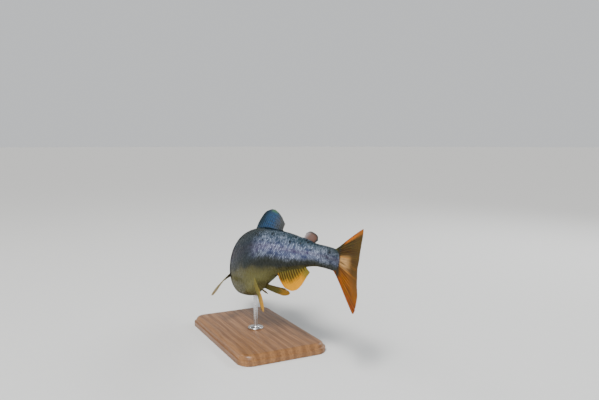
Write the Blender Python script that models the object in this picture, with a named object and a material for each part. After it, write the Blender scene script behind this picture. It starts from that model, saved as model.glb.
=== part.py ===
# A rainbow trout at life size, banking as it swims, on a plain display stand.
#
# Row frame: metres, +Z up, origin at the centre of the stand's underside. The fish heads towards -X and
# its left flank faces -Y. It is shaped straight first, in its own coordinates: s runs along the body from
# the snout (0) to the end of the tail base (1), y to its left and z to its back, all as fractions of the
# standard length. posed() then bends the straight fish along the curved spine of the swimming pose.
import math

import bpy
import bmesh
import numpy as np

# Driving dimensions, in metres
STANDARD_LENGTH = 0.39
GAP = 0.0003
SPINE_HEIGHT = 0.142
BASE_SIZE = (0.250, 0.150, 0.016)
BASE_CORNER = 0.022
BASE_EDGE = 0.0025
ROD_RADIUS = 0.0035
FLANGE_RADIUS = 0.013
FLANGE_HEIGHT = 0.004
FLANGE_CHAMFER = 0.0014
GAP_SHARE = GAP / STANDARD_LENGTH

# The swimming pose: (station, degrees). Turn is positive to the fish's left, climb is positive with the
# nose up, and bank is positive with the left flank raised.
ROD_STATION = 0.43
TURN = ((0.0, -22.0), (0.22, -15.5), (0.42, 1.5), (0.58, 7.5), (0.84, 10.5), (0.96, 6.5), (1.06, -2.0),
        (1.3, -2.0))
CLIMB = ((0.0, -14.0), (0.35, -17.5), (0.60, -10.0), (0.85, -4.0), (1.06, 5.0), (1.3, 5.0))
BANK = ((0.0, 14.0), (0.35, 14.0), (0.60, 25.0), (0.85, 13.0), (1.06, 4.0), (1.3, 4.0))

# Body outline: station, height of the back, depth of the belly, half width
OUTLINE = (
    (0.000, 0.0060, 0.0100, 0.0080),
    (0.010, 0.0165, 0.0200, 0.0180),
    (0.035, 0.0310, 0.0370, 0.0300),
    (0.085, 0.0535, 0.0600, 0.0430),
    (0.150, 0.0770, 0.0860, 0.0520),
    (0.230, 0.0955, 0.1180, 0.0600),
    (0.340, 0.1120, 0.1630, 0.0690),
    (0.460, 0.1150, 0.1760, 0.0730),
    (0.580, 0.0970, 0.1290, 0.0650),
    (0.640, 0.0870, 0.0930, 0.0560),
    (0.700, 0.0760, 0.0755, 0.0460),
    (0.800, 0.0550, 0.0570, 0.0320),
    (0.900, 0.0390, 0.0430, 0.0205),
    (1.000, 0.0385, 0.0420, 0.0090),
)
SIDE_FULLNESS = 0.90
BODY_SIDES = 38
HEAD_RINGS = 18
TRUNK_RINGS = 24
TAIL_RINGS = 11

# Cuts between the body's pieces. The gill cover's edge bulges backwards at mid height.
GILL_STATION = 0.205
GILL_BULGE = 0.030
TAIL_CUT = 0.800
MOUTH_TIP = (-0.03, -0.004)
MOUTH_CORNER = (0.118, -0.046)
JAW_REAR = (0.150, -0.130)
CUTTER_REACH = 0.10

# Gill covers: how far inside the head they start, and the side view of their front edge, top to bottom
COVER_INNER = 0.022
COVER_FRONT = ((0.186, 0.046), (0.166, 0.030), (0.156, 0.008), (0.152, -0.018), (0.155, -0.044),
               (0.166, -0.066), (0.184, -0.084))
COVER_REAR = 0.28

# Eyes: station, height, radius across and radius outwards
EYE_STATION = 0.083
EYE_HEIGHT = 0.020
EYE_RADIUS = 0.0210
EYE_DEPTH = 0.0125
EYE_SUNK = 0.0085

# Fins of the midline: the base runs between two stations, and the margin gives, for each share of the
# base, the ray's end as (share, station, height above the skin). A bow curves the rays forwards.
DORSAL_BASE = (0.396, 0.620)
DORSAL_MARGIN = ((0.0, 0.466, 0.077), (0.2, 0.500, 0.086), (0.4, 0.533, 0.085), (0.6, 0.570, 0.074),
                 (0.8, 0.613, 0.055), (1.0, 0.657, 0.028))
DORSAL_BOW = 0.012
DORSAL_FLEX = 0.020
ADIPOSE_BASE = (0.785, 0.845)
ADIPOSE_MARGIN = ((0.0, 0.800, 0.022), (0.25, 0.824, 0.034), (0.5, 0.854, 0.034), (0.75, 0.875, 0.025),
                  (1.0, 0.878, 0.011))
ADIPOSE_BOW = 0.004
ANAL_BASE = (0.652, 0.815)
ANAL_MARGIN = ((0.0, 0.732, 0.074), (0.2, 0.768, 0.088), (0.4, 0.799, 0.086), (0.6, 0.824, 0.070),
               (0.8, 0.843, 0.047), (1.0, 0.864, 0.022))
ANAL_BOW = 0.010
ANAL_FLEX = 0.008
CAUDAL_BASE = (-0.038, 0.037)
CAUDAL_MARGIN = ((0.0, 1.150, -0.152), (0.06, 1.160, -0.138), (0.2, 1.163, -0.094), (0.5, 1.147, 0.0),
                 (0.8, 1.154, 0.092), (0.94, 1.161, 0.136), (1.0, 1.158, 0.150))
CAUDAL_BOW = 0.004

# Paired fins in their own plane: the base's half width, and the margin as (share, along, out)
PECTORAL_HALF_BASE = 0.020
PECTORAL_MARGIN = ((0.0, -0.004, 0.148), (0.2, 0.018, 0.160), (0.5, 0.044, 0.138), (0.8, 0.056, 0.098),
                   (1.0, 0.048, 0.055))
PECTORAL_ROOT = (0.222, 0.050, -0.083)
PELVIC_HALF_BASE = 0.016
PELVIC_MARGIN = ((0.0, -0.002, 0.134), (0.25, 0.018, 0.148), (0.5, 0.034, 0.132), (0.8, 0.043, 0.093),
                 (1.0, 0.036, 0.053))
PELVIC_ROOT = (0.545, 0.026, -0.132)

# How each paired fin is held: its side, the direction of its rays, the direction from its leading to its
# trailing ray, and how much it is cupped. The left ones reach out, and the right ones lie back.
PAIRED_FINS = {
    "pectoral_fin_left": (1, (0.50, 0.59, -0.64), (0.98, 0.20, 0.0), 0.8),
    "pectoral_fin_right": (-1, (0.88, 0.18, -0.34), (0.20, 0.72, -0.42), 0.2),
    "pelvic_fin_left": (1, (0.53, -0.29, -0.80), (0.83, 0.38, 0.41), -0.3),
    "pelvic_fin_right": (-1, (0.90, 0.12, -0.07), (0.30, 0.80, -0.50), 0.3),
}

# Fin thickness at the root and at the margin, and how deep roots reach before they are trimmed
FIN_ROOT = 0.0026
FIN_EDGE = 0.0008
ROOT_SINK = 0.020

# The shape that trims fins and rod is the body itself, grown by the gap, from this station on
CLEARANCE_START = 0.02
CLEARANCE_RINGS = 64

# Facets of the stand, and how far under the spine the rod's blank ends
CORNER_STEPS = 6
ROD_SIDES = 24
ROD_SINK = 0.02


def smooth_value(table, s, column=1):
    """Value of one column of a table at stations s, on a monotone cubic through its rows."""
    rows = np.array(table, float)
    x, y = rows[:, 0], rows[:, column]
    step = np.diff(x)
    slope = np.diff(y) / step
    tangent = np.concatenate([slope[:1], np.zeros(len(x) - 2), slope[-1:]])
    for i in range(1, len(x) - 1):
        if slope[i - 1] * slope[i] > 0:
            before, after = 2 * step[i] + step[i - 1], step[i] + 2 * step[i - 1]
            tangent[i] = (before + after) / (before / slope[i - 1] + after / slope[i])
    s = np.asarray(s, float)
    i = np.clip(np.searchsorted(x, s) - 1, 0, len(step) - 1)
    t = (s - x[i]) / step[i]
    rise = (1 + 2 * t) * (1 - t) ** 2 * y[i] + t * t * (3 - 2 * t) * y[i + 1]
    return rise + step[i] * (t * (1 - t) ** 2 * tangent[i] + t * t * (t - 1) * tangent[i + 1])


def spine_axes(s):
    """Unit vectors forwards, left and up of the fish at stations s."""
    turn, climb, bank = (np.radians(smooth_value(table, s)) for table in (TURN, CLIMB, BANK))
    ahead = np.stack([-np.cos(turn) * np.cos(climb), -np.sin(turn) * np.cos(climb), np.sin(climb)], -1)
    level = np.stack([np.sin(turn), -np.cos(turn), 0 * turn], -1)
    upright = np.cross(ahead, level)
    cos_bank, sin_bank = np.cos(bank)[..., None], np.sin(bank)[..., None]
    return ahead, level * cos_bank + upright * sin_bank, upright * cos_bank - level * sin_bank


SPINE_STATIONS = np.linspace(-0.05, 1.3, 271)


def spine_points():
    """Points of the spine, with the rod's station above the origin."""
    ahead = spine_axes(SPINE_STATIONS)[0]
    step = SPINE_STATIONS[1] - SPINE_STATIONS[0]
    walked = np.cumsum((ahead[1:] + ahead[:-1]) / 2 * step, axis=0)
    points = -np.concatenate([np.zeros((1, 3)), walked]) * STANDARD_LENGTH
    over_rod = [np.interp(ROD_STATION, SPINE_STATIONS, points[:, k]) for k in range(3)]
    return points - over_rod + np.array([0, 0, SPINE_HEIGHT])


SPINE_POINTS = spine_points()


def posed(s, y, z):
    """World points of the posed fish for points (s, y, z) of the straight one."""
    s, y, z = np.broadcast_arrays(np.asarray(s, float), y, z)
    centre = np.stack([np.interp(s, SPINE_STATIONS, SPINE_POINTS[:, k]) for k in range(3)], -1)
    ahead, left, up = spine_axes(s)
    return centre + STANDARD_LENGTH * (left * y[..., None] + up * z[..., None])


def section(s, angle, grow=0.0):
    """Side and height of the body's surface at a station; angle 0 is the left side, pi/2 the back."""
    back, belly, side = (smooth_value(OUTLINE, s, column) + grow for column in (1, 2, 3))
    c, h = np.cos(angle), np.sin(angle)
    return side * np.sign(c) * np.abs(c) ** SIDE_FULLNESS, np.where(h >= 0, back, belly) * h


def material(name, colour, roughness, metallic=0.0):
    mat = bpy.data.materials.new(name)
    mat.use_nodes = True
    shader = mat.node_tree.nodes["Principled BSDF"]
    shader.inputs["Base Color"].default_value = (*colour, 1.0)
    shader.inputs["Roughness"].default_value = roughness
    shader.inputs["Metallic"].default_value = metallic
    return mat


def make_object(name, points, faces, mat, parent=None):
    """An object of these world points, with its origin at the middle of its box."""
    points = np.asarray(points, float)
    middle = (points.min(0) + points.max(0)) / 2
    mesh = bpy.data.meshes.new(name)
    mesh.from_pydata([tuple(p) for p in points - middle], [], faces)
    bm = bmesh.new()
    bm.from_mesh(mesh)
    bmesh.ops.recalc_face_normals(bm, faces=bm.faces)
    bm.to_mesh(mesh)
    bm.free()
    mesh.materials.append(mat)
    mesh.shade_smooth()
    mesh.set_sharp_from_angle(angle=math.radians(40))
    obj = bpy.data.objects.new(name, mesh)
    obj.location = middle
    obj.parent = parent
    bpy.context.scene.collection.objects.link(obj)
    return obj


def make_cutter(name, points, faces):
    obj = make_object(name, points, faces, bpy.data.materials["cutter"])
    obj.hide_render = True
    obj.display_type = "WIRE"
    return obj


def cut(obj, cutter, operation="DIFFERENCE"):
    step = obj.modifiers.new(cutter.name, "BOOLEAN")
    step.operation = operation
    step.solver = "EXACT"
    step.object = cutter


def loft(rings):
    """Points and faces of a closed body through rings of equal size, with a fan over each end."""
    count, sides = len(rings), len(rings[0])
    points = np.concatenate([np.concatenate(rings), [np.mean(rings[0], 0), np.mean(rings[-1], 0)]])
    faces = []
    for i in range(count - 1):
        for k in range(sides):
            j = (k + 1) % sides
            faces.append((i * sides + k, i * sides + j, (i + 1) * sides + j, (i + 1) * sides + k))
    first, last = count * sides, count * sides + 1
    for k in range(sides):
        j = (k + 1) % sides
        faces.append((j, k, first))
        faces.append(((count - 1) * sides + k, (count - 1) * sides + j, last))
    return points, faces


def body_length(front, rear, count, bias=1.0, grow=0.0):
    """A length of the body between two cuts; front(angle) and rear(angle) give their stations."""
    angle = np.linspace(0, 2 * math.pi, BODY_SIDES, endpoint=False)
    rings = []
    for t in np.linspace(0, 1, count) ** bias:
        s = front(angle) * (1 - t) + rear(angle) * t
        side, height = section(s, angle, grow)
        rings.append(posed(s, side, height))
    return loft(rings)


def gill_edge(angle):
    return GILL_STATION + GILL_BULGE * np.cos(angle) ** 2


def side_prism(name, outline, right, left):
    """A cutter with a side-view outline of (s, z) points, between two distances from the midline."""
    rings = [np.array([posed(s, y, z) for s, z in outline]) for y in (right, left)]
    return make_cutter(name, *loft(rings))


def jaw_outline(shrink):
    """Side view of the lower jaw's room; shrink keeps it back from the head."""
    (tip_s, tip_z), (corner_s, corner_z), (rear_s, rear_z) = MOUTH_TIP, MOUTH_CORNER, JAW_REAR
    return (
        (tip_s, tip_z - shrink),
        (corner_s - shrink, corner_z - shrink),
        (rear_s - shrink, rear_z),
        (tip_s, rear_z),
    )


def cover_outline(shrink):
    """Side view of a gill cover's room, open past the head's rear; shrink keeps it back from the head."""
    front = [(s + shrink, z) for s, z in COVER_FRONT]
    top, bottom = COVER_FRONT[0][1] - shrink, COVER_FRONT[-1][1] + shrink
    front[0] = (front[0][0], top)
    front[-1] = (front[-1][0], bottom)
    return front + [(COVER_REAR, bottom), (COVER_REAR, top)]


def ellipsoid(centre, across, outwards, side, rows=12, columns=20):
    """Rings of an eye-shaped solid whose short axis points out of the head."""
    rings = []
    turn = np.linspace(0, 2 * math.pi, columns, endpoint=False)
    for lift in np.linspace(-0.97, 0.97, rows):
        r = across * math.sqrt(1 - lift * lift)
        y = side * (centre[1] + lift * outwards)
        rings.append(posed(centre[0] + r * np.cos(turn), y, centre[2] + r * np.sin(turn)))
    return loft(rings)


def eye_centre():
    """Straight-fish centre of the left eye, sunk in the side of the head."""
    angle = math.asin(EYE_HEIGHT / float(smooth_value(OUTLINE, EYE_STATION, 1)))
    side, height = section(EYE_STATION, angle)
    return EYE_STATION, float(side) - EYE_SUNK, float(height)


def fin_plate(grid, root, edge):
    """A closed thin plate on a grid of points [ray][step], thick at the root and thin at the margin."""
    grid = np.asarray(grid, float)
    rays, steps = grid.shape[:2]
    normal = np.cross(np.gradient(grid, axis=0), np.gradient(grid, axis=1))
    normal /= np.linalg.norm(normal, axis=-1)[..., None]
    v = np.linspace(0, 1, steps)[None, :, None]
    half = (edge + (root - edge) * (1 - v) ** 1.5) / 2
    points = np.concatenate([(grid + normal * half).reshape(-1, 3), (grid - normal * half).reshape(-1, 3)])
    back = rays * steps
    faces = []
    for i in range(rays - 1):
        for k in range(steps - 1):
            a, b, c, d = i * steps + k, (i + 1) * steps + k, (i + 1) * steps + k + 1, i * steps + k + 1
            faces += [(a, b, c, d), (d + back, c + back, b + back, a + back)]
    rim = [i * steps for i in range(rays)] + [(rays - 1) * steps + k for k in range(1, steps)]
    rim += [i * steps + steps - 1 for i in range(rays - 2, -1, -1)] + [k for k in range(steps - 2, 0, -1)]
    for a, b in zip(rim, rim[1:] + rim[:1]):
        faces.append((b, a, a + back, b + back))
    return points, faces


def fin_rays(base, margin, rays, steps):
    """Fin-plane grid [ray][step]: straight rays from a base line to a smooth margin."""
    share = np.linspace(0, 1, rays)[:, None]
    start = np.array(base[0]) * (1 - share) + np.array(base[1]) * share
    end = np.concatenate([smooth_value(margin, share, 1), smooth_value(margin, share, 2)], axis=1)
    v = np.linspace(0, 1, steps)[None, :, None]
    return start[:, None, :] * (1 - v) + end[:, None, :] * v


def arch(steps):
    """0 at both ends of a ray and 1 at its middle."""
    v = np.linspace(0, 1, steps)
    return 4 * v * (1 - v)


def median_fin(name, side, base, margin, bow, mat, parent, rays=13, steps=7, flex=0.0):
    """A fin on the midline of the back (side 1) or the belly (side -1), bent a little to the left."""
    def skin(s):
        return smooth_value(OUTLINE, s, 1 if side > 0 else 2)

    roots = [(s, float(skin(s)) - ROOT_SINK) for s in base]
    ends = [(share, s, float(skin(s)) + height) for share, s, height in margin]
    grid = fin_rays(roots, ends, rays, steps)
    grid[..., 0] -= bow * arch(steps)
    swing = flex * np.linspace(0, 1, rays)[:, None] * np.linspace(0, 1, steps)[None, :] ** 2
    points, faces = fin_plate(posed(grid[..., 0], swing, side * grid[..., 1]), FIN_ROOT, FIN_EDGE)
    return make_object(name, points, faces, mat, parent)


def paired_fin(name, side, root, out, spread, half_base, margin, mat, parent, rays=11, steps=7, cup=0.0):
    """A fin of the flank: root is its (s, y, z), out its ray direction and spread runs to its rear edge."""
    out, spread = np.array(out, float), np.array(spread, float)
    out /= np.linalg.norm(out)
    spread -= out * spread.dot(out)
    spread /= np.linalg.norm(spread)
    lift = np.cross(out, spread)
    grid = fin_rays(((-half_base, -ROOT_SINK), (half_base, -ROOT_SINK)), margin, rays, steps)
    place = np.array(root) + grid[..., :1] * spread + grid[..., 1:] * out
    place = place + cup * grid[..., 1:] ** 2 * lift
    points, faces = fin_plate(posed(place[..., 0], side * place[..., 1], place[..., 2]), FIN_ROOT, FIN_EDGE)
    return make_object(name, points, faces, mat, parent)


def tail_fin(mat, parent, rays=19, steps=8):
    """The fan of the tail, nearly square at its trailing edge."""
    start = 1.0 + GAP_SHARE
    grid = fin_rays([(start, z) for z in CAUDAL_BASE], CAUDAL_MARGIN, rays, steps)
    grid[..., 1] += CAUDAL_BOW * np.linspace(-1, 1, rays)[:, None] * arch(steps)
    points, faces = fin_plate(posed(grid[..., 0], 0.0, grid[..., 1]), 2 * FIN_ROOT, FIN_EDGE)
    return make_object("caudal_fin", points, faces, mat, parent)


def build_head(colours, parent):
    """Head, lower jaw, gill covers and eyes, parted by thin cuts."""
    whole = body_length(lambda a: 0 * a, gill_edge, HEAD_RINGS, bias=1.5)
    head = make_object("head", *whole, colours["head"], parent)
    cut(head, side_prism("cutter_jaw_room", jaw_outline(0.0), -CUTTER_REACH, CUTTER_REACH))
    jaw = make_object("lower_jaw", *whole, colours["head"], parent)
    jaw_block = side_prism("cutter_jaw_block", jaw_outline(GAP_SHARE), -CUTTER_REACH, CUTTER_REACH)
    cut(jaw, jaw_block, "INTERSECT")
    for side, word in ((1, "left"), (-1, "right")):
        inner, outer = side * COVER_INNER, side * CUTTER_REACH
        cut(head, side_prism("cutter_cover_room_" + word, cover_outline(0.0), inner, outer))
        block_outline = cover_outline(GAP_SHARE)
        block = side_prism("cutter_cover_block_" + word, block_outline, inner + side * GAP_SHARE, outer)
        cover = make_object("gill_cover_" + word, *whole, colours["head"], parent)
        cut(cover, block, "INTERSECT")
        socket = ellipsoid(eye_centre(), EYE_RADIUS + GAP_SHARE, EYE_DEPTH + GAP_SHARE, side)
        cut(head, make_cutter("cutter_socket_" + word, *socket))
        eye = ellipsoid(eye_centre(), EYE_RADIUS, EYE_DEPTH, side)
        make_object("eye_" + word, *eye, colours["eye"], parent)


def build_trunk(colours, parent):
    """The trunk, cut behind the gill covers, and the slimmer tail base behind it."""
    trunk = body_length(lambda a: gill_edge(a) + GAP_SHARE, lambda a: TAIL_CUT + 0 * a, TRUNK_RINGS)
    make_object("trunk", *trunk, colours["flank"], parent)
    tail = body_length(lambda a: TAIL_CUT + GAP_SHARE + 0 * a, lambda a: 1.0 + 0 * a, TAIL_RINGS)
    make_object("tail_base", *tail, colours["flank"], parent)


def build_fins(colours, parent):
    """The eight fins, each but the tail fin trimmed to stand a hair clear of the body."""
    dark, amber = colours["fin_dark"], colours["fin_amber"]
    trimmed = [
        median_fin("dorsal_fin", 1, DORSAL_BASE, DORSAL_MARGIN, DORSAL_BOW, dark, parent, flex=DORSAL_FLEX),
        median_fin("adipose_fin", 1, ADIPOSE_BASE, ADIPOSE_MARGIN, ADIPOSE_BOW, dark, parent, 9, 6),
        median_fin("anal_fin", -1, ANAL_BASE, ANAL_MARGIN, ANAL_BOW, amber, parent, flex=ANAL_FLEX),
    ]
    shapes = {
        "pectoral": (PECTORAL_ROOT, PECTORAL_HALF_BASE, PECTORAL_MARGIN),
        "pelvic": (PELVIC_ROOT, PELVIC_HALF_BASE, PELVIC_MARGIN),
    }
    for name, (side, out, spread, cup) in PAIRED_FINS.items():
        root, half_base, margin = shapes[name.split("_")[0]]
        fin = paired_fin(name, side, root, out, spread, half_base, margin, amber, parent, cup=cup)
        trimmed.append(fin)
    clearance = body_length(lambda a: CLEARANCE_START + 0 * a, lambda a: 1.0 + 0 * a, CLEARANCE_RINGS,
                            grow=GAP_SHARE)
    clearance = make_cutter("cutter_clearance", *clearance)
    for fin in trimmed:
        cut(fin, clearance)
    tail_fin(amber, parent)
    return clearance


def base_ring(height, inset):
    """One ring of the stand's rounded slab, drawn in by inset."""
    length, width = BASE_SIZE[:2]
    ring = []
    for corner in range(4):
        x_sign = 1 if corner in (0, 3) else -1
        y_sign = 1 if corner < 2 else -1
        for step in range(CORNER_STEPS + 1):
            turn = math.pi / 2 * (corner + step / CORNER_STEPS)
            reach = BASE_CORNER - inset
            x = x_sign * (length / 2 - BASE_CORNER) + reach * math.cos(turn)
            y = y_sign * (width / 2 - BASE_CORNER) + reach * math.sin(turn)
            ring.append((x, y, height))
    return np.array(ring)


def turned(name, profile, mat):
    """A body turned about the vertical axis through the origin, from (radius, height) points."""
    turn = np.linspace(0, 2 * math.pi, ROD_SIDES, endpoint=False)
    rings = [np.stack([r * np.cos(turn), r * np.sin(turn), z + 0 * turn], -1) for r, z in profile]
    return make_object(name, *loft(rings), mat)


def build_stand(colours, clearance):
    """A rounded slab, a chamfered flange and one rod whose top follows the belly."""
    top = BASE_SIZE[2]
    steps = (
        (0, BASE_EDGE / 2),
        (BASE_EDGE / 2, 0),
        (top - BASE_EDGE, 0),
        (top - 0.3 * BASE_EDGE, 0.3 * BASE_EDGE),
        (top, BASE_EDGE),
    )
    make_object("stand_base", *loft([base_ring(*step) for step in steps]), colours["wood"])
    foot = top + GAP
    flange_top = foot + FLANGE_HEIGHT
    flange = (
        (FLANGE_RADIUS, foot),
        (FLANGE_RADIUS, flange_top - FLANGE_CHAMFER),
        (FLANGE_RADIUS - FLANGE_CHAMFER, flange_top),
    )
    turned("stand_flange", flange, colours["steel"])
    rod = turned("stand_rod", ((ROD_RADIUS, flange_top + GAP), (ROD_RADIUS, SPINE_HEIGHT - ROD_SINK)),
                 colours["steel"])
    cut(rod, clearance)


def main():
    for obj in list(bpy.data.objects):
        bpy.data.objects.remove(obj)
    bpy.data.materials.new("cutter")
    colours = {
        "head": material("head", (0.10, 0.12, 0.10), 0.35),
        "flank": material("flank", (0.08, 0.12, 0.14), 0.35),
        "eye": material("eye", (0.03, 0.03, 0.02), 0.08),
        "fin_dark": material("fin_dark", (0.07, 0.12, 0.17), 0.40),
        "fin_amber": material("fin_amber", (0.50, 0.21, 0.04), 0.40),
        "wood": material("wood", (0.36, 0.22, 0.12), 0.45),
        "steel": material("steel", (0.60, 0.60, 0.61), 0.28, 1.0),
    }
    trout = bpy.data.objects.new("rainbow_trout", None)
    bpy.context.scene.collection.objects.link(trout)
    build_head(colours, trout)
    build_trunk(colours, trout)
    clearance = build_fins(colours, trout)
    build_stand(colours, clearance)


main()
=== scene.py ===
# A life-size rainbow trout that banks as it swims, on a plain display stand.
# The straight fish is shaped first, as shares of its standard length: s runs from the snout (0) to the
# end of the tail base (1), y to its left and z to its back. placePoints then bends it along the spine.
import math

import bpy
import numpy as np
from mathutils import Matrix, Vector


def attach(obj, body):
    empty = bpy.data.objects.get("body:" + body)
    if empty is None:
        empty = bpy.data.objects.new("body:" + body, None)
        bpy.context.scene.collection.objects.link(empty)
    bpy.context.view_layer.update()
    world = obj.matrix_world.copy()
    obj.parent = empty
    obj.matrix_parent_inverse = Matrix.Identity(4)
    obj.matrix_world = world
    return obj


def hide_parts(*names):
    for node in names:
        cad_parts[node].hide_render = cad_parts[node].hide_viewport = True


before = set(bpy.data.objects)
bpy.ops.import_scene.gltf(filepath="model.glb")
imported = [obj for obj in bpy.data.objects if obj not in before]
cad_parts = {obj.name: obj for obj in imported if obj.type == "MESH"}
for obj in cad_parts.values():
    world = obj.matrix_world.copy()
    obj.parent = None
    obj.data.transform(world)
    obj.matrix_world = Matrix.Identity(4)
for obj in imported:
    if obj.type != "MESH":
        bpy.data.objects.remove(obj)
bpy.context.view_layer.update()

fishShape = {
    "length": 0.39,  # standard length in metres
    "rodStation": 0.43,
    "spineHeight": 0.142,
    "turn": ((0.0, -22.0), (0.22, -15.5), (0.42, 1.5), (0.58, 7.5), (0.84, 10.5), (0.96, 6.5),
             (1.06, -2.0), (1.3, -2.0)),
    "climb": ((0.0, -14.0), (0.35, -17.5), (0.60, -10.0), (0.85, -4.0), (1.06, 5.0), (1.3, 5.0)),
    "bank": ((0.0, 14.0), (0.35, 14.0), (0.60, 25.0), (0.85, 13.0), (1.06, 4.0), (1.3, 4.0)),
    "outline": (  # station, back, belly, half width
        (0.000, 0.0060, 0.0100, 0.0080),
        (0.010, 0.0165, 0.0200, 0.0180),
        (0.035, 0.0310, 0.0370, 0.0300),
        (0.085, 0.0535, 0.0600, 0.0430),
        (0.150, 0.0770, 0.0860, 0.0520),
        (0.230, 0.0955, 0.1180, 0.0600),
        (0.340, 0.1120, 0.1630, 0.0690),
        (0.460, 0.1150, 0.1760, 0.0730),
        (0.580, 0.0970, 0.1290, 0.0650),
        (0.640, 0.0870, 0.0930, 0.0560),
        (0.700, 0.0760, 0.0755, 0.0460),
        (0.800, 0.0550, 0.0570, 0.0320),
        (0.900, 0.0390, 0.0430, 0.0205),
        (1.000, 0.0385, 0.0420, 0.0090),
        (1.060, 0.0385, 0.0420, 0.0030),
    ),
    "sideFullness": 0.90,
}
mm = 0.001 / fishShape["length"]  # one millimetre as a share of the standard length


def smoothValue(table, s, column=1):
    # monotone cubic through a table's rows
    rows = np.array(table, float)
    x, y = rows[:, 0], rows[:, column]
    step = np.diff(x)
    slope = np.diff(y) / step
    tangent = np.concatenate([slope[:1], np.zeros(len(x) - 2), slope[-1:]])
    for i in range(1, len(x) - 1):
        if slope[i - 1] * slope[i] > 0:
            before, after = 2 * step[i] + step[i - 1], step[i] + 2 * step[i - 1]
            tangent[i] = (before + after) / (before / slope[i - 1] + after / slope[i])
    s = np.asarray(s, float)
    i = np.clip(np.searchsorted(x, s) - 1, 0, len(step) - 1)
    t = (s - x[i]) / step[i]
    rise = (1 + 2 * t) * (1 - t) ** 2 * y[i] + t * t * (3 - 2 * t) * y[i + 1]
    return rise + step[i] * (t * (1 - t) ** 2 * tangent[i] + t * t * (t - 1) * tangent[i + 1])


def softStep(x, low, high):
    t = np.clip((x - low) / (high - low), 0, 1)
    return t * t * (3 - 2 * t)


def softDrop(x, low, high):
    return 1 - softStep(x, low, high)


def plateau(x, foot, top, topEnd, footEnd):
    # 0 up to foot, 1 from top to topEnd, 0 again from footEnd on
    return softStep(x, foot, top) * softDrop(x, topEnd, footEnd)


def hump(x, width):
    return np.exp(-(x / width) ** 2)


def waves(x, y, seed, octaves=3):
    # smooth noise between about -1 and 1, from sums of sines
    rng = np.random.default_rng(seed)
    total = 0
    for octave in range(octaves):
        for _ in range(3):
            angle, phase = rng.uniform(0, 2 * math.pi, 2)
            pitch = 2 ** octave * rng.uniform(0.8, 1.3)
            wave = np.sin(pitch * (x * math.cos(angle) + y * math.sin(angle)) + phase)
            total = total + wave / 2 ** octave
    return total / 3


spineStations = np.linspace(-0.06, 1.3, 2721)


def spineAxes(s):
    turn, climb, bank = (np.radians(smoothValue(fishShape[name], s)) for name in ("turn", "climb", "bank"))
    ahead = np.stack([-np.cos(turn) * np.cos(climb), -np.sin(turn) * np.cos(climb), np.sin(climb)], -1)
    level = np.stack([np.sin(turn), -np.cos(turn), 0 * turn], -1)
    upright = np.cross(ahead, level)
    cosBank, sinBank = np.cos(bank)[..., None], np.sin(bank)[..., None]
    return ahead, level * cosBank + upright * sinBank, upright * cosBank - level * sinBank


def spinePoints():
    ahead = spineAxes(spineStations)[0]
    step = spineStations[1] - spineStations[0]
    walked = np.cumsum((ahead[1:] + ahead[:-1]) / 2 * step, axis=0)
    points = -np.concatenate([np.zeros((1, 3)), walked]) * fishShape["length"]
    overRod = [np.interp(fishShape["rodStation"], spineStations, points[:, k]) for k in range(3)]
    return points - overRod + np.array([0, 0, fishShape["spineHeight"]])


spineTable = np.concatenate([spinePoints(), *spineAxes(spineStations)[1:]], axis=1)


def placePoints(s, y, z):
    s, y, z = np.broadcast_arrays(np.asarray(s, float), y, z)
    row = [np.interp(s, spineStations, spineTable[:, k]) for k in range(9)]
    centre, left, up = (np.stack(row[k:k + 3], -1) for k in (0, 3, 6))
    return centre + fishShape["length"] * (left * y[..., None] + up * z[..., None])


def bodySection(s, angle):
    # side and height of the body's outline; angle 0 is the left side, a quarter turn is the back
    back, belly, side = (smoothValue(fishShape["outline"], s, column) for column in (1, 2, 3))
    c, h = np.cos(angle), np.sin(angle)
    return side * np.sign(c) * np.abs(c) ** fishShape["sideFullness"], np.where(h >= 0, back, belly) * h


def rawMesh(name, points, *faceSets):
    # a mesh from points and sets of faces; a set has one row of corners for each face
    mesh = bpy.data.meshes.new(name)
    mesh.vertices.add(len(points))
    mesh.vertices.foreach_set("co", np.asarray(points, np.float32).ravel())
    corners = np.concatenate([faces.ravel() for faces in faceSets])
    sizes = np.concatenate([np.full(len(faces), faces.shape[1]) for faces in faceSets])
    mesh.loops.add(len(corners))
    mesh.loops.foreach_set("vertex_index", corners.astype(np.int32))
    mesh.polygons.add(len(sizes))
    mesh.polygons.foreach_set("loop_start", (np.cumsum(sizes) - sizes).astype(np.int32))
    mesh.update(calc_edges=True)
    return mesh


def closedMesh(name, points, quads, triangles=()):
    # a closed mesh whose faces look outwards
    triangles = np.asarray(triangles, int).reshape(-1, 3)
    mesh = rawMesh(name, points, quads, triangles)
    mesh.validate()
    corners = np.concatenate([quads[:, (0, 1, 2)], quads[:, (0, 2, 3)], triangles])
    a, b, c = (points[corners[:, k]] - points.mean(0) for k in range(3))
    if (a * np.cross(b, c)).sum() < 0:
        mesh.flip_normals()
    return mesh


def addVectors(mesh, name, values):
    layer = mesh.attributes.new(name, "FLOAT_VECTOR", "POINT")
    layer.data.foreach_set("vector", np.asarray(values, np.float32).ravel())


def addUv(mesh, values):
    # values has one (u, v) for each vertex
    corner = np.zeros(len(mesh.loops), np.int32)
    mesh.loops.foreach_get("vertex_index", corner)
    layer = mesh.uv_layers.new(name="OFBake")
    layer.uv.foreach_set("vector", np.asarray(values, np.float32)[corner].ravel())


def addPiece(name, mesh, material, replaced=(), sharpAngle=None):
    mesh.materials.append(material)
    mesh.shade_smooth()
    if sharpAngle:
        mesh.set_sharp_from_angle(angle=math.radians(sharpAngle))
    piece = bpy.data.objects.new(name, mesh)
    bpy.context.scene.collection.objects.link(piece)
    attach(piece, "root")
    if replaced:
        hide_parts(*replaced)
    return piece


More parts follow.
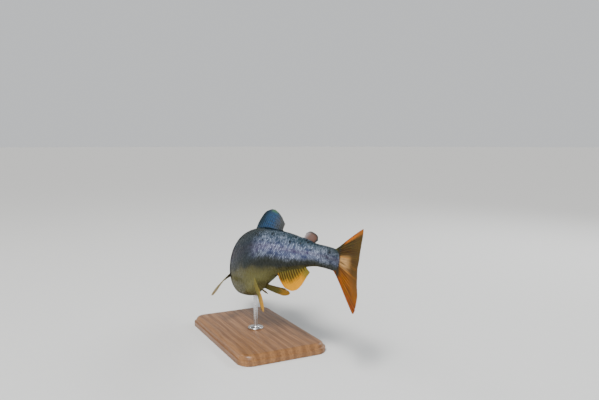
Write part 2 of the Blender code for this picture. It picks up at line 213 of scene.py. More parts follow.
def gridQuads(rows, columns, wrap=False):
    # quads of a grid of points [row][column]; wrap joins the last column to the first
    i, j = np.meshgrid(np.arange(rows - 1), np.arange(columns if wrap else columns - 1), indexing="ij")
    here, beside = i * columns + j, i * columns + (j + 1) % columns
    return np.stack([here, here + columns, beside + columns, beside], -1).reshape(-1, 4)


def tubeFaces(rings, columns):
    # quads of a tube of points [ring][column], and a fan at each end to the two points after them
    k = np.arange(columns)
    j = (k + 1) % columns
    rear, tip = (rings - 1) * columns, rings * columns + 0 * k
    fans = np.concatenate([np.stack([k, j, tip], -1), np.stack([rear + j, rear + k, tip + 1], -1)])
    return gridQuads(rings, columns, wrap=True), fans


def gridNormals(points, wrap=False):
    down = np.gradient(points, axis=0)
    if wrap:
        across = (np.roll(points, -1, 1) - np.roll(points, 1, 1)) / 2
    else:
        across = np.gradient(points, axis=1)
    normal = np.cross(across, down)
    return normal / np.maximum(np.linalg.norm(normal, axis=-1), 1e-12)[..., None]


class nodeDesk:
    # short ways to place and join shader nodes in one tree
    def __init__(self, tree):
        self.tree = tree

    def add(self, kind, inputs=None, **settings):
        node = self.tree.nodes.new(kind)
        for key, value in settings.items():
            setattr(node, key, value)
        for key, value in (inputs or {}).items():
            self.join(value, node.inputs[key])
        return node

    def join(self, value, socket):
        if isinstance(value, bpy.types.NodeSocket):
            self.tree.links.new(value, socket)
        elif isinstance(value, tuple) and len(value) == 3 and socket.type == "RGBA":
            socket.default_value = (*value, 1.0)
        else:
            socket.default_value = value

    def math(self, operation, first, *others):
        # one operation from left to right over two or more values
        for other in others or (0.0,):
            first = self.add("ShaderNodeMath", {0: first, 1: other}, operation=operation).outputs[0]
        return first

    def times(self, *values):
        return self.math("MULTIPLY", *values) if len(values) > 1 else values[0]

    def plus(self, *values):
        return self.math("ADD", *values)

    def minus(self, a, b):
        return self.math("SUBTRACT", a, b)

    def mix(self, factor, a, b):
        node = self.add("ShaderNodeMix", data_type="RGBA")
        for k, value in ((0, factor), (6, a), (7, b)):
            self.join(value, node.inputs[k])
        return node.outputs[2]

    def paint(self, under, over, *masks):
        # over on top of under, where all the masks are 1
        return self.mix(self.times(*masks), under, over)

    def ramp(self, value, low, high, toLow=0.0, toHigh=1.0):
        # smooth step of value between low and high
        node = self.add("ShaderNodeMapRange", interpolation_type="SMOOTHSTEP")
        for k, v in enumerate((value, low, high, toLow, toHigh)):
            self.join(v, node.inputs[k])
        return node.outputs[0]

    def hill(self, value, foot, top, topEnd, footEnd):
        # 0 up to foot, 1 from top to topEnd, 0 again from footEnd
        return self.times(self.ramp(value, foot, top), self.ramp(value, footEnd, topEnd))

    def noise(self, vector, scale, detail=2.0, roughness=0.5, out="Fac"):
        inputs = {"Vector": vector, "Scale": scale, "Detail": detail, "Roughness": roughness}
        return self.add("ShaderNodeTexNoise", inputs).outputs[out]

    def wander(self, vector, scale, detail, reach, roughness=0.5):
        # noise on both sides of zero
        return self.times(self.minus(self.noise(vector, scale, detail, roughness), 0.5), reach)

    def swirl(self, place, noise, reach):
        # a place moved by the three values of a noise colour
        move = self.add("ShaderNodeVectorMath", {0: noise, "Scale": reach}, operation="SCALE").outputs[0]
        return self.add("ShaderNodeVectorMath", {0: place, 1: move}, operation="ADD").outputs[0]

    def dots(self, vector, scale, randomness, edge, middle):
        # round dots of a cell pattern
        inputs = {"Vector": vector, "Scale": scale, "Randomness": randomness}
        return self.ramp(self.add("ShaderNodeTexVoronoi", inputs).outputs["Distance"], edge, middle)

    def split(self, vector):
        return self.add("ShaderNodeSeparateXYZ", {0: vector}).outputs

    def stretch(self, vector, scale):
        return self.add("ShaderNodeMapping", {"Vector": vector, "Scale": scale}).outputs[0]

    def attribute(self, name):
        return self.add("ShaderNodeAttribute", attribute_name=name).outputs["Vector"]

    def bump(self, shader, height, strength, distance):
        node = self.add("ShaderNodeBump", {"Strength": strength, "Distance": distance, "Height": height})
        self.join(node.outputs[0], shader["Normal"])


def newGroup(name, inputs, outputs):
    # a shader node group; inputs and outputs are (name, kind, value) with kind Float, Color or Vector
    tree = bpy.data.node_groups.new(name, "ShaderNodeTree")
    for label, kind, value in inputs:
        socket = tree.interface.new_socket(name=label, in_out="INPUT", socket_type="NodeSocket" + kind)
        socket.default_value = (*value, 1.0) if kind == "Color" else value
    for label, kind in outputs:
        tree.interface.new_socket(name=label, in_out="OUTPUT", socket_type="NodeSocket" + kind)
    desk = nodeDesk(tree)
    return tree, desk, desk.add("NodeGroupInput").outputs, desk.add("NodeGroupOutput").inputs


def newMaterial(name, **fixed):
    # a material with a Principled shader whose constant values are set on its own sockets
    material = bpy.data.materials.new(name)
    material.use_nodes = True
    tree = material.node_tree
    shader = next(node for node in tree.nodes if node.type == "BSDF_PRINCIPLED")
    for key, value in fixed.items():
        shader.inputs[key.replace("_", " ")].default_value = value
    return material, nodeDesk(tree), shader.inputs


def useGroup(desk, tree, **inputs):
    node = desk.add("ShaderNodeGroup", node_tree=tree)
    for key, value in inputs.items():
        desk.join(value, node.inputs[key.replace("_", " ")])
    return node.outputs


# the skin is one surface from the snout to the tail
skinShape = {
    "columns": 288,
    "headRings": 240,
    "trunkRings": 170,
    "headCrowding": 1.3,  # above 1 the rings crowd towards the snout
    "noseTip": -0.002,
    "noseFull": 0.006,
    "gillEdge": (0.205, 0.235, 0.150),  # station at the nape, at mid height and under the throat
    "tailReach": 0.026,  # how far the flesh runs out over the tail fin's rays at mid height
    "coatDepth": 0.45 * mm,
    # the gill cover's rim: mm back, mm out
    "coverRim": ((0.25, -0.12), (0.34, -0.45), (0.10, -0.85), (-0.75, -1.15), (-1.1, -1.30)),
    "coverDip": 1.30 * mm,
    "dipLength": 0.026,
    "mouth": ((-0.010, -0.0035), (0.018, -0.0095), (0.050, -0.0230), (0.090, -0.0405), (0.126, -0.0560)),
    "jawEdge": ((0.010, -0.0180), (0.050, -0.0355), (0.090, -0.0520), (0.140, -0.0755)),
    "upperJaw": ((0.018, 0.0010), (0.050, -0.0080), (0.090, -0.0235), (0.118, -0.0375), (0.130, -0.0490)),
    "cheekEdge": ((-0.074, 0.124), (-0.050, 0.1430), (-0.020, 0.1510), (0.010, 0.1505), (0.040, 0.158)),
    "coverSeam": ((0.150, -0.0470), (0.190, -0.0400), (0.226, -0.0260)),
    "nostrils": ((0.0445, 0.0255), (0.0515, 0.0272)),
    "eye": (0.083, 0.020),  # station and height of the pupil
    "eyeOpening": 0.0186,
}
eyePlace = skinShape["eye"]


def gillEdge(angle):
    nape, middle, throat = skinShape["gillEdge"]
    rise = np.sin(angle)
    above, under = (nape - middle) * rise ** 2, (throat - middle) * np.abs(rise) ** 2.4
    return middle + np.where(rise > 0, above, under)


def gillOpen(angle):
    # 1 where the gill cover has a free edge, 0 over the nape
    return softDrop(np.sin(angle), 0.34, 0.60)


def bodyPoint(s, angle):
    # the body's smooth outline with a rounded snout, as (s, y, z)
    tip, full = skinShape["noseTip"], skinShape["noseFull"]
    inside = np.clip((full - s) / (full - tip), 0, 1)
    roundness = np.sqrt(1 - inside ** 2)
    y, z = bodySection(np.maximum(s, full), angle)
    thin = 1 - 0.74 * softStep(s, 0.985, 1.0 + skinShape["tailReach"])
    return np.stack([s + 0 * angle, y * roundness * thin, z * roundness], -1)


def bodyNormal(s, angle):
    along = bodyPoint(s + 2e-4, angle) - bodyPoint(s - 2e-4, angle)
    around = bodyPoint(s, angle + 1e-3) - bodyPoint(s, angle - 1e-3)
    normal = np.cross(around, along)
    return normal / np.maximum(np.linalg.norm(normal, axis=-1), 1e-12)[..., None]


def pores():
    # small sensory pits under the eye, along the cheek's edge and on the lower jaw
    spots = []
    for turn in np.radians(np.linspace(200, 330, 7)):
        spots.append((eyePlace[0] + 0.0305 * math.cos(turn), eyePlace[1] + 0.0290 * math.sin(turn)))
    for z in np.linspace(-0.058, 0.026, 7):
        spots.append((float(smoothValue(skinShape["cheekEdge"], z)) - 0.0065, z))
    for s in np.linspace(0.03, 0.118, 6):
        spots.append((s, float(smoothValue(skinShape["jawEdge"], s)) + 0.0055))
    return spots


def headRelief(s, y, z, angle):
    # bones, mouth, nostrils and gill covers of the head, as a height in shares of the length
    sideways = softStep(np.abs(y), 0.002, 0.006)
    mouth = smoothValue(skinShape["mouth"], np.clip(s, -0.01, 0.126))
    jawEdge = smoothValue(skinShape["jawEdge"], np.clip(s, 0.01, 0.14))
    upper = smoothValue(skinShape["upperJaw"], np.clip(s, 0.018, 0.13))
    mouthEnds = softDrop(s, 0.120, 0.130)
    height = -1.25 * hump(z - mouth, 0.85 * mm) * mouthEnds
    height += 0.35 * hump(z - mouth - 1.9 * mm, 1.3 * mm) * plateau(s, 0.001, 0.008, 0.03, 0.06)
    height -= 0.75 * plateau(mouth - z, 0, 0.8 * mm, 1.5 * mm, 6 * mm) * mouthEnds
    # upper jaw bone, broadest at its rear end
    bone = plateau(z, mouth, mouth + 0.9 * mm, upper - 0.9 * mm, upper)
    height += 0.75 * bone * plateau(s, 0.018, 0.034, 0.1255, 0.1300)
    height -= 0.30 * hump(z - upper - 0.5 * mm, 0.8 * mm) * softStep(s, 0.02, 0.05) * mouthEnds
    # lower jaw, and the folded rays of the throat behind it
    height -= 0.55 * hump(z - jawEdge, 0.9 * mm) * plateau(s, 0.008, 0.03, 0.13, 0.15)
    under, edge = jawEdge - z, gillEdge(angle)
    throat = softStep(under, 0.003, 0.008) * plateau(s, 0.060, 0.090, edge - 0.012, edge - 0.003) * (z < 0)
    height += 0.30 * np.cos(2 * math.pi * under / 0.0064) * throat * softStep(np.abs(y), 0.004, 0.010)
    height -= 1.1 * hump(y, 1.4 * mm) * plateau(s, 0.03, 0.05, 0.125, 0.145) * (z < 0)
    # the cheek's plate with its free rear edge, and the seams of the gill cover
    cheek = smoothValue(skinShape["cheekEdge"], np.clip(z, -0.074, 0.040))
    plate = 0.50 * plateau(s, cheek - 0.018, cheek - 0.005, cheek, cheek + 0.7 * mm)
    plate -= 0.28 * hump(s - cheek - 1.2 * mm, 0.9 * mm)
    height += plate * plateau(z, -0.078, -0.066, 0.032, 0.044) * sideways
    seam = smoothValue(skinShape["coverSeam"], np.clip(s, 0.150, 0.226))
    height -= 0.38 * hump(z - seam, 0.8 * mm) * plateau(s, 0.150, 0.160, 0.222, 0.230) * sideways
    lower = seam - 0.019 - 0.25 * (0.190 - s)
    height -= 0.30 * hump(z - lower, 0.8 * mm) * plateau(s, 0.135, 0.145, 0.200, 0.212)
    above = plateau(z, seam, seam + 1.5 * mm, 0.046, 0.060) * softStep(s, cheek, cheek + 0.006)
    fan, reach = np.arctan2(z - 0.038, s - 0.150), np.hypot(z - 0.038, s - 0.150)
    height += 0.06 * waves(fan * 26, reach / mm * 0.35, 7) * above * softStep(reach, 0.01, 0.02)
    # eye opening, its rim, nostrils and pores
    r = np.hypot(s - eyePlace[0], z - eyePlace[1])
    opening = skinShape["eyeOpening"]
    height -= softDrop(r, opening, opening + 0.0050) + 4.2 * softDrop(r, opening - 0.0035, opening)
    height += 0.42 * hump(r - opening - 0.0060, 0.0030) - 0.20 * hump(r - opening - 0.0125, 0.0028)
    for place in skinShape["nostrils"]:
        r = np.hypot(s - place[0], z - place[1])
        height += 0.32 * hump(r - 0.0036, 0.0013) - 1.15 * hump(r, 0.0024)
    for place in pores():
        height -= 0.30 * hump(np.hypot(s - place[0], z - place[1]), 0.0011)
    height += 0.10 * waves(s * 130, z * 130, 4) * softStep(s, 0.0, 0.02)
    return height * mm * softStep(s, skinShape["noseTip"] - 0.0005, skinShape["noseTip"] + 0.0030)


def trunkRelief(s, y, z, angle):
    # swellings round the fins' roots, the vent and the sunken strip behind the gill covers
    top, low = z > 0, z < 0
    height = 0 * s
    for (front, rear), width, lift, where in (
        ((0.392, 0.624), 2.6, 1.4, top), ((0.785, 0.845), 2.2, 1.0, top), ((0.652, 0.815), 2.4, 1.5, low)
    ):
        run = plateau(s, front - 0.014, front + 0.006, rear - 0.006, rear + 0.014)
        height += lift * mm * hump(y, width * mm) * run * where
    for root, lift in (((0.222, 0.050, -0.083), 1.3), ((0.545, 0.026, -0.132), 1.1)):
        away = np.sqrt((s - root[0]) ** 2 + (np.abs(y) - root[1]) ** 2 + (z - root[2]) ** 2)
        height += lift * mm * hump(away, 0.017)
    vent = np.hypot(s - 0.632, y)
    height += (1.1 * hump(vent, 0.0042) - 1.3 * hump(vent, 0.0016)) * mm * low
    start = gillEdge(angle)
    dip = skinShape["coverDip"] * gillOpen(angle) * softDrop(s, start, start + skinShape["dipLength"])
    scaled = softStep(s, start - 0.002, start + 0.006)
    return height - dip - skinShape["coatDepth"] * scaled


def skinRings():
    # rings of the whole skin: (station, angle, height) for every point, and where the trunk's rings begin
    angle = np.linspace(0, 2 * math.pi, skinShape["columns"], endpoint=False)
    edge, openness = gillEdge(angle), gillOpen(angle)
    rings = []
    tip = skinShape["noseTip"]
    for t in np.linspace(0, 1, skinShape["headRings"] + 1)[1:] ** skinShape["headCrowding"]:
        s = tip + (edge - tip) * t
        _, y, z = bodyPoint(s, angle).T
        rings.append((s, angle, headRelief(s, y, z, angle)))
    lip = rings[-1][2]
    for k, (back, out) in enumerate(skinShape["coverRim"]):
        s = edge + (openness * back + (1 - openness) * 0.12 * (k + 1)) * mm
        rings.append((s, angle, lip + openness * out * mm))
    first = len(rings)
    start, end = trunkStart(angle), trunkEnd(angle)
    for t in np.linspace(0, 1, skinShape["trunkRings"]):
        s = start + (end - start) * t
        _, y, z = bodyPoint(s, angle).T
        rings.append((s, angle, trunkRelief(s, y, z, angle)))
    return np.array(rings), first


def trunkStart(angle):
    openness = gillOpen(angle)
    rim = skinShape["coverRim"]
    return gillEdge(angle) + (openness * (rim[-1][0] + 0.05) + (1 - openness) * 0.12 * (len(rim) + 1)) * mm


def trunkEnd(angle):
    return 1.0 + skinShape["tailReach"] * np.cos(angle) ** 2


def shapeSkin():
    rings, first = skinRings()
    s, angle, height = rings[:, 0], rings[:, 1], rings[:, 2]
    straight = bodyPoint(s, angle) + bodyNormal(s, angle) * height[..., None]
    world = placePoints(straight[..., 0], straight[..., 1], straight[..., 2])
    return straight, world, np.sin(angle), first


skinStraight, skinWorld, skinBand, trunkFirst = shapeSkin()
print("skin shaped:", skinWorld.shape[:2])


# the fish's markings are worn by skin and scales alike
markingLook = {
    "belly": (0.112, 0.102, 0.032),
    "bellyBounceLight": (0.170, 0.158, 0.060),
    "throat": (0.270, 0.245, 0.140),
    "bellyEdge": (0.090, 0.080, 0.028),
    "lowerFlankShade": (0.020, 0.022, 0.017),
    "flank": (0.007, 0.013, 0.074),
    "upperFlank": (0.008, 0.026, 0.056),
    "back": (0.008, 0.030, 0.040),
    "blush": (0.170, 0.048, 0.080),
    "tailStalk": (0.034, 0.038, 0.034),
    "nape": (0.085, 0.072, 0.074),
    "broadFlankShade": (0.010, 0.017, 0.014),
    "cheek": (0.105, 0.112, 0.108),
    "crown": (0.009, 0.025, 0.030),
    "cheekBlush": (0.240, 0.070, 0.085),
    "jaw": (0.230, 0.205, 0.110),
    "coverBlotch": (0.040, 0.042, 0.034),
    "mottle": (0.030, 0.036, 0.030),
    "spot": (0.010, 0.012, 0.013),
    "grain": (0.020, 0.026, 0.028),
    "spotScale": 142.0,
}


def fishMarkings():
    # colour, share of silver and spots for a place and a height share (-1 belly, 1 back)
    inputs = [("Place", "Vector", (0, 0, 0)), ("Band", "Float", 0.0)]
    outputs = [("Color", "Color"), ("Silver", "Float"), ("Spot", "Float")]
    tree, desk, given, out = newGroup("fish markings", inputs, outputs)
    look = markingLook
    place = given["Place"]
    along = desk.math("DIVIDE", desk.split(place)["X"], fishShape["length"])
    band = desk.plus(given["Band"], desk.wander(place, 38.0, 3.0, 0.42))
    # from the belly up to the back; the belly narrows towards the tail
    low = desk.plus(band, desk.ramp(along, 0.42, 0.72, 0.0, 0.62))
    low = desk.minus(low, desk.ramp(along, 0.24, 0.38, 0.0, 0.30))
    side = desk.plus(band, desk.ramp(along, 0.56, 0.78, 0.0, 0.28))
    # the belly's own colour is pale; its olive cast is painted shade and light thrown up from the ground,
    # and the lighter strip along the very bottom is painted bounce light
    colour = desk.paint(look["belly"], look["bellyBounceLight"], desk.ramp(band, -0.78, -0.98))
    for name, mask in (
        ("throat", desk.ramp(along, 0.40, 0.24)),
        ("bellyEdge", desk.ramp(low, -0.90, -0.66)),
        # painted shade: a dark band along the lower flank, where a fish lit from above falls into its own
        # shadow
        ("lowerFlankShade", desk.ramp(low, -0.72, -0.50)),
        ("flank", desk.ramp(side, -0.36, 0.00)),
        ("upperFlank", desk.ramp(band, 0.15, 0.48)),
        ("back", desk.ramp(band, 0.45, 0.85)),
    ):
        colour = desk.paint(colour, look[name], mask)
    blush = desk.hill(band, -0.20, 0.02, 0.06, 0.26)
    colour = desk.paint(colour, look["blush"], blush, desk.ramp(along, 0.26, 0.44, 0.60, 0.18))
    colour = desk.paint(colour, look["tailStalk"], desk.ramp(along, 0.84, 0.97, 0.0, 0.55))
    nape = desk.hill(band, -0.85, -0.55, 0.0, 0.50)
    colour = desk.paint(colour, look["nape"], nape, desk.ramp(along, 0.36, 0.24), 0.62)
    # painted shade: darker and greener, with less silver, where the flank is broadest, for the shadow on the
    # front half of the flank
    shade = desk.times(desk.hill(along, 0.26, 0.38, 0.49, 0.61), desk.ramp(band, -0.55, -0.35))
    colour = desk.paint(colour, look["broadFlankShade"], shade, 0.80)
    silver = desk.times(desk.ramp(side, -0.46, -0.02), desk.ramp(band, 0.95, 0.40, 0.30, 1.0),
                        desk.ramp(along, 1.0, 0.90, 0.35, 1.0), desk.minus(1.08, shade))
    # the head: olive crown, blushed cheek, pale jaw, and a gill cover that darkens below like the flank
    head = desk.ramp(along, 0.236, 0.200)
    crown = desk.paint(look["cheek"], look["crown"], desk.ramp(band, 0.05, 0.58))
    cheek = desk.hill(band, -0.42, -0.10, 0.10, 0.42)
    crown = desk.paint(crown, look["cheekBlush"], cheek, desk.ramp(along, 0.10, 0.16), 0.62)
    crown = desk.paint(crown, look["jaw"], desk.ramp(band, -0.45, -0.80))
    dusk = desk.hill(band, -0.80, -0.55, -0.42, -0.12)
    crown = desk.paint(crown, look["coverBlotch"], dusk, desk.ramp(along, 0.150, 0.185), 0.60)
    mottle = desk.noise(place, 95.0, 4.0, 0.62)
    crown = desk.paint(crown, look["mottle"], desk.ramp(mottle, 0.50, 0.72, 0.0, 0.45))
    silver = desk.mix(head, silver, desk.times(desk.hill(band, -0.70, -0.30, 0.15, 0.55), 1.1))
    colour = desk.mix(head, colour, crown)
    # small black spots, crowded on the back and thin on the flank
    bent = desk.swirl(place, desk.noise(place, 260.0, 2.0, out="Color"), 0.0035)
    cells = desk.add("ShaderNodeTexVoronoi", {"Vector": bent, "Scale": look["spotScale"], "Randomness": 0.9})
    chance = desk.split(cells.outputs["Color"])["X"]
    band = given["Band"]
    size = desk.times(desk.ramp(band, -0.05, 0.70, 0.13, 0.30), desk.ramp(chance, 0.20, 0.70, 0.0, 1.20))
    spot = desk.ramp(desk.minus(cells.outputs["Distance"], size), 0.05, -0.05)
    spot = desk.times(spot, desk.ramp(band, -0.10, 0.10))
    colour = desk.paint(colour, look["spot"], spot, 0.86)
    fine = desk.noise(place, 420.0, 3.0)
    colour = desk.paint(colour, look["grain"], desk.ramp(fine, 0.42, 0.70, 0.0, 0.28))
    desk.join(colour, out["Color"])
    desk.join(silver, out["Silver"])
    desk.join(spot, out["Spot"])
    return tree


markings = fishMarkings()

skinLook = {
    "poreScale": 1500.0,
    "poreDepth": 0.35,
    "roughness": (0.30, 0.42),
    "foldShade": (0.012, 0.012, 0.011),
    "underScaleShade": (0.020, 0.026, 0.030),
}


def skinMaterial():
    material, desk, shader = newMaterial(
        "trout skin", Coat_Weight=0.20, Coat_Roughness=0.10, Specular_IOR_Level=0.30,
        Subsurface_Weight=0.05, Subsurface_Scale=0.004)
    place = desk.attribute("fishPlace")
    detail = desk.split(desk.attribute("fishBand"))  # height share, under the coat, depth of a fold
    worn = useGroup(desk, markings, Place=place, Band=detail["X"])
    speckle = desk.noise(place, skinLook["poreScale"], 2.0)
    # painted shade: darker deep in folds, grooves and pits
    colour = desk.paint(worn["Color"], skinLook["foldShade"], detail["Z"], 0.75)
    # painted shade: the skin under the scales is darker, as it shows only in the shaded gaps between them
    colour = desk.paint(colour, skinLook["underScaleShade"], detail["Y"], 0.45)
    desk.join(colour, shader["Base Color"])
    desk.join(desk.ramp(speckle, 0.3, 0.7, *skinLook["roughness"]), shader["Roughness"])
    desk.join(desk.times(worn["Silver"], 0.30), shader["Metallic"])
    desk.bump(shader, speckle, skinLook["poreDepth"], 0.0002)
    return material


def makeSkin():
    rings, columns = skinWorld.shape[:2]
    ends = np.array([(skinShape["noseTip"], 0, 0), (1.0, 0, 0)])
    points = np.concatenate([skinWorld.reshape(-1, 3), placePoints(*ends.T)])
    straight = np.concatenate([skinStraight.reshape(-1, 3), ends])
    mesh = closedMesh("troutSkin", points, *tubeFaces(rings, columns))
    # band: height share, then 1 on the scaled trunk, then how deep the point lies in a fold
    ring = np.arange(rings)[:, None] + 0 * skinBand
    normal = gridNormals(skinStraight, wrap=True)
    hollow = foldDepth(skinStraight, normal)
    band = np.stack([skinBand, (ring >= trunkFirst).astype(float), hollow], -1).reshape(-1, 3)
    addVectors(mesh, "fishPlace", straight * fishShape["length"])
    addVectors(mesh, "fishBand", np.concatenate([band, [[0, 0, 0], [0, 1, 0]]]))
    u = np.append(np.repeat(np.linspace(0.01, 0.99, rings), columns), [0.0, 1.0])
    v = np.append(np.tile(np.linspace(0.01, 0.99, columns), rings), [0.5, 0.5])
    addUv(mesh, np.stack([u, v], -1))
    return addPiece("troutSkin", mesh, skinMaterial(),
                    ("head", "lower_jaw", "gill_cover_left", "gill_cover_right", "trunk", "tail_base"))


def foldDepth(points, normal):
    # 1 deep in a groove: where the neighbours a few points away stand well in front of the point
    depth = 0
    for shift in (2, 4):
        around = (np.roll(points, shift, 1) + np.roll(points, -shift, 1)) / 2
        along = points.copy()
        along[shift:-shift] = (points[2 * shift:] + points[:-2 * shift]) / 2
        ahead = ((around + along - 2 * points) * normal).sum(-1)
        depth = depth + np.clip(ahead, 0, None)
    return np.clip(depth / (1.1 * mm), 0, 1)


makeSkin()
print("skin made")


# the coat of scales: closed little plates that overlap backwards, in rows along the lateral line
coatLook = {
    "pitchAlong": ((0.14, 2.5), (0.24, 3.2), (0.36, 4.0), (0.60, 4.0), (0.85, 3.1), (1.03, 2.2)),  # mm
    "pitchAround": ((0.14, 1.50), (0.24, 1.95), (0.36, 2.45), (0.60, 2.40), (0.85, 1.80), (1.03, 1.25)),
    "lateralLine": ((0.14, 0.040), (0.235, 0.034), (0.40, 0.018), (0.65, 0.008), (1.06, -0.002)),
    "rows": (0.0, 0.5, 0.8, 1.0),  # of points along one scale
    "across": 9,  # points across one scale
    "middle": 0.42,  # where its round end begins
    "lengthShare": 1.62,  # of the pitch along the body
    "widthShare": 1.20,  # half width, of the pitch around the body
    "sunk": -0.12,  # mm under the skin at the root
    "proud": 0.42,  # mm over the skin at the free edge
    "dome": 0.13,
    "thick": 0.18,
    "jitter": 0.030,
    "sizeLuck": 0.05,
    "skewLuck": 0.06,
    "roundEnd": 78,  # degrees to each side
    "frontWidth": 0.82,
    "underside": (0.97, 0.95),  # length and width of the underside, as shares of the top
    "napeSunk": 0.32,  # mm, where there is no gill cover's edge
    "tube": 0.16,  # mm, the height of the lateral line's small tubes
    "pieces": 4,  # lengths of the coat on each side
    "patch": 0.003,  # size of one scale on the bake map
    "hem": (0.005, 0.007, 0.012),
    "glint": (0.68, 0.78, 1.00),
    "pore": (0.03, 0.035, 0.035),
}


def scaleForm():
    # one scale as (along, across, height in mm), straight in front and round behind, and its faces
    turn = np.radians(np.linspace(-coatLook["roundEnd"], coatLook["roundEnd"], coatLook["across"]))
    middle = coatLook["middle"]
    rear = np.stack([middle + (1 - middle) * np.cos(turn), np.sin(turn)], -1)
    front = np.stack([0 * turn, coatLook["frontWidth"] * np.linspace(-1, 1, len(turn))], -1)
    share = np.array(coatLook["rows"])[:, None, None]
    flat = front * (1 - share) + rear * share
    rise = coatLook["proud"] - coatLook["sunk"]
    height = coatLook["sunk"] + rise * flat[..., 0] ** 0.85 - coatLook["dome"] * flat[..., 1] ** 2
    top = np.concatenate([flat, height[..., None]], -1).reshape(-1, 3)
    rows, columns = flat.shape[:2]
    rim = list(range(columns)) + [r * columns + columns - 1 for r in range(1, rows)]
    rim += [(rows - 1) * columns + c for c in range(columns - 2, -1, -1)]
    rim += [r * columns for r in range(rows - 2, 0, -1)]
    rim = np.array(rim)
    lower = top[rim] * (*coatLook["underside"], 1.0) - (0.0, 0.0, coatLook["thick"])
    base = len(top)
    k = np.arange(len(rim))
    j = (k + 1) % len(rim)
    sides = np.stack([rim[k], rim[j], base + j, base + k], -1)
    return np.concatenate([top, lower]), np.concatenate([gridQuads(rows, columns), sides]), base + k


def angleTable():
    # the angle round the left flank for a station and a distance from the lateral line
    stations = np.linspace(0.14, 1.06, 185)
    reach = np.linspace(-0.26, 0.22, 481)
    angles = np.linspace(-math.pi / 2 - 0.7, math.pi / 2 + 0.7, 721)
    table = []
    for s in stations:
        y, z = bodySection(s + 0 * angles, angles)
        walked = np.concatenate([[0], np.cumsum(np.hypot(np.diff(y), np.diff(z)))])
        back = float(smoothValue(fishShape["outline"], s, 1))
        start = math.asin(float(smoothValue(coatLook["lateralLine"], s)) / back)
        table.append(np.interp(reach, walked - np.interp(start, angles, walked), angles))
    return stations, reach, np.array(table)


def lookUp(table, rows, columns):
    # table values between its whole rows and columns
    rows = np.clip(rows, 0, table.shape[0] - 1.001)
    columns = np.clip(columns, 0, table.shape[1] - 1.001)
    i, j = rows.astype(int), columns.astype(int)
    a, b = rows - i, columns - j
    if table.ndim == 3:
        a, b = a[..., None], b[..., None]
    near = table[i, j] * (1 - b) + table[i, j + 1] * b
    far = table[i + 1, j] * (1 - b) + table[i + 1, j + 1] * b
    return near * (1 - a) + far * a


def scaleRoots(angleOf):
    # station, row, angle and length of every scale on the left side
    stations = [0.142]
    while stations[-1] < 1.02:
        stations.append(stations[-1] + float(smoothValue(coatLook["pitchAlong"], stations[-1])) * mm / 2)
    stations = np.array(stations)
    m, row = np.meshgrid(np.arange(len(stations)), np.arange(-60, 61), indexing="ij")
    keep = (m + row) % 2 == 0
    m, row = m[keep], row[keep]
    s = stations[m]
    angle = angleOf(s, row * smoothValue(coatLook["pitchAround"], s) * mm)
    length = smoothValue(coatLook["pitchAlong"], s) * mm * coatLook["lengthShare"]
    inside = (np.abs(angle) <= math.pi / 2 + 0.01) & (s > gillEdge(angle) - 0.004)
    inside &= s + length < trunkEnd(angle) - 0.002
    return s[inside], row[inside], angle[inside], length[inside]


def makeCoat():
    stations, reach, table = angleTable()

    def angleOf(s, distance):
        row = (s - stations[0]) / (stations[1] - stations[0])
        return lookUp(table, row, (distance - reach[0]) / (reach[1] - reach[0]))

    trunk, columns = skinWorld[trunkFirst:], skinShape["columns"]
    ground = np.concatenate([trunk, trunk[:, :1]], axis=1)
    outward = -gridNormals(trunk, wrap=True)  # the straight fish's frame is mirrored in the world's
    outward = np.concatenate([outward, outward[:, :1]], axis=1)
    form, quads, under = scaleForm()
    rootS, rootRow, rootAngle, rootLength = scaleRoots(angleOf)
    material = scaleMaterial()
    along, across = form[:, 0], form[:, 1]
    for side, word in ((1, "left"), (-1, "right")):
        rng = np.random.default_rng(20 + side)
        order = np.argsort(rootS, kind="stable")
        for part, chosen in enumerate(np.array_split(order, coatLook["pieces"])):
            count = len(chosen)
            s0, row, length = rootS[chosen, None], rootRow[chosen, None], rootLength[chosen, None]
            pitch = smoothValue(coatLook["pitchAround"], s0) * mm
            luck = rng.uniform(-1, 1, (count, 4))
            size = 1 + coatLook["sizeLuck"] * luck[:, :1]
            s = s0 + along * length * size
            distance = row * pitch + across * pitch * coatLook["widthShare"] * size
            distance = distance + coatLook["skewLuck"] * luck[:, 1:2] * pitch * along
            angle = angleOf(s, distance)
            if side < 0:
                angle = math.pi - angle
            flat = (1 - gillOpen(angle)) * softDrop(s, gillEdge(angle), gillEdge(angle) + 0.05)
            tilt = coatLook["jitter"] * (luck[:, 2:3] * along + luck[:, 3:4] * across)
            height = form[:, 2] - coatLook["napeSunk"] * flat + tilt
            tube = (row == 0) * (along > 0.3) * hump(across, 0.3)
            height = (height + coatLook["tube"] * tube) * 0.001
            start, end = trunkStart(angle), trunkEnd(angle)
            ring = (s - start) / (end - start) * (len(trunk) - 1)
            column = (angle / (2 * math.pi) % 1) * columns
            points = lookUp(ground, ring, column) + lookUp(outward, ring, column) * height[..., None]
            step = (np.arange(count) * len(form))[:, None]
            faces = (step[:, :, None] + quads[None]).reshape(-1, 4)
            unders = step + under[None]
            if side < 0:
                faces, unders = faces[:, ::-1], unders[:, ::-1]
            name = "scales_%s_%d" % (word, part + 1)
            mesh = rawMesh(name, points.reshape(-1, 3), faces, unders)
            straight = bodyPoint(s, angle) * fishShape["length"]
            tone = np.repeat(luck[:, 3:4], len(form), 1)
            addVectors(mesh, "fishPlace", straight)
            addVectors(mesh, "fishBand", np.stack([np.sin(angle), tone, (row == 0) + 0 * angle], -1))
            local = np.broadcast_to(form[:, :2], (count, len(form), 2))
            addVectors(mesh, "scaleSpot", np.concatenate([local, tone[..., None] * 0.5 + 0.5], -1))
            addUv(mesh, coatUv(s0, rootAngle[chosen, None], form).reshape(-1, 2))
            addPiece(name, mesh, material, sharpAngle=50)
    print("scales made:", len(rootS) * 2)


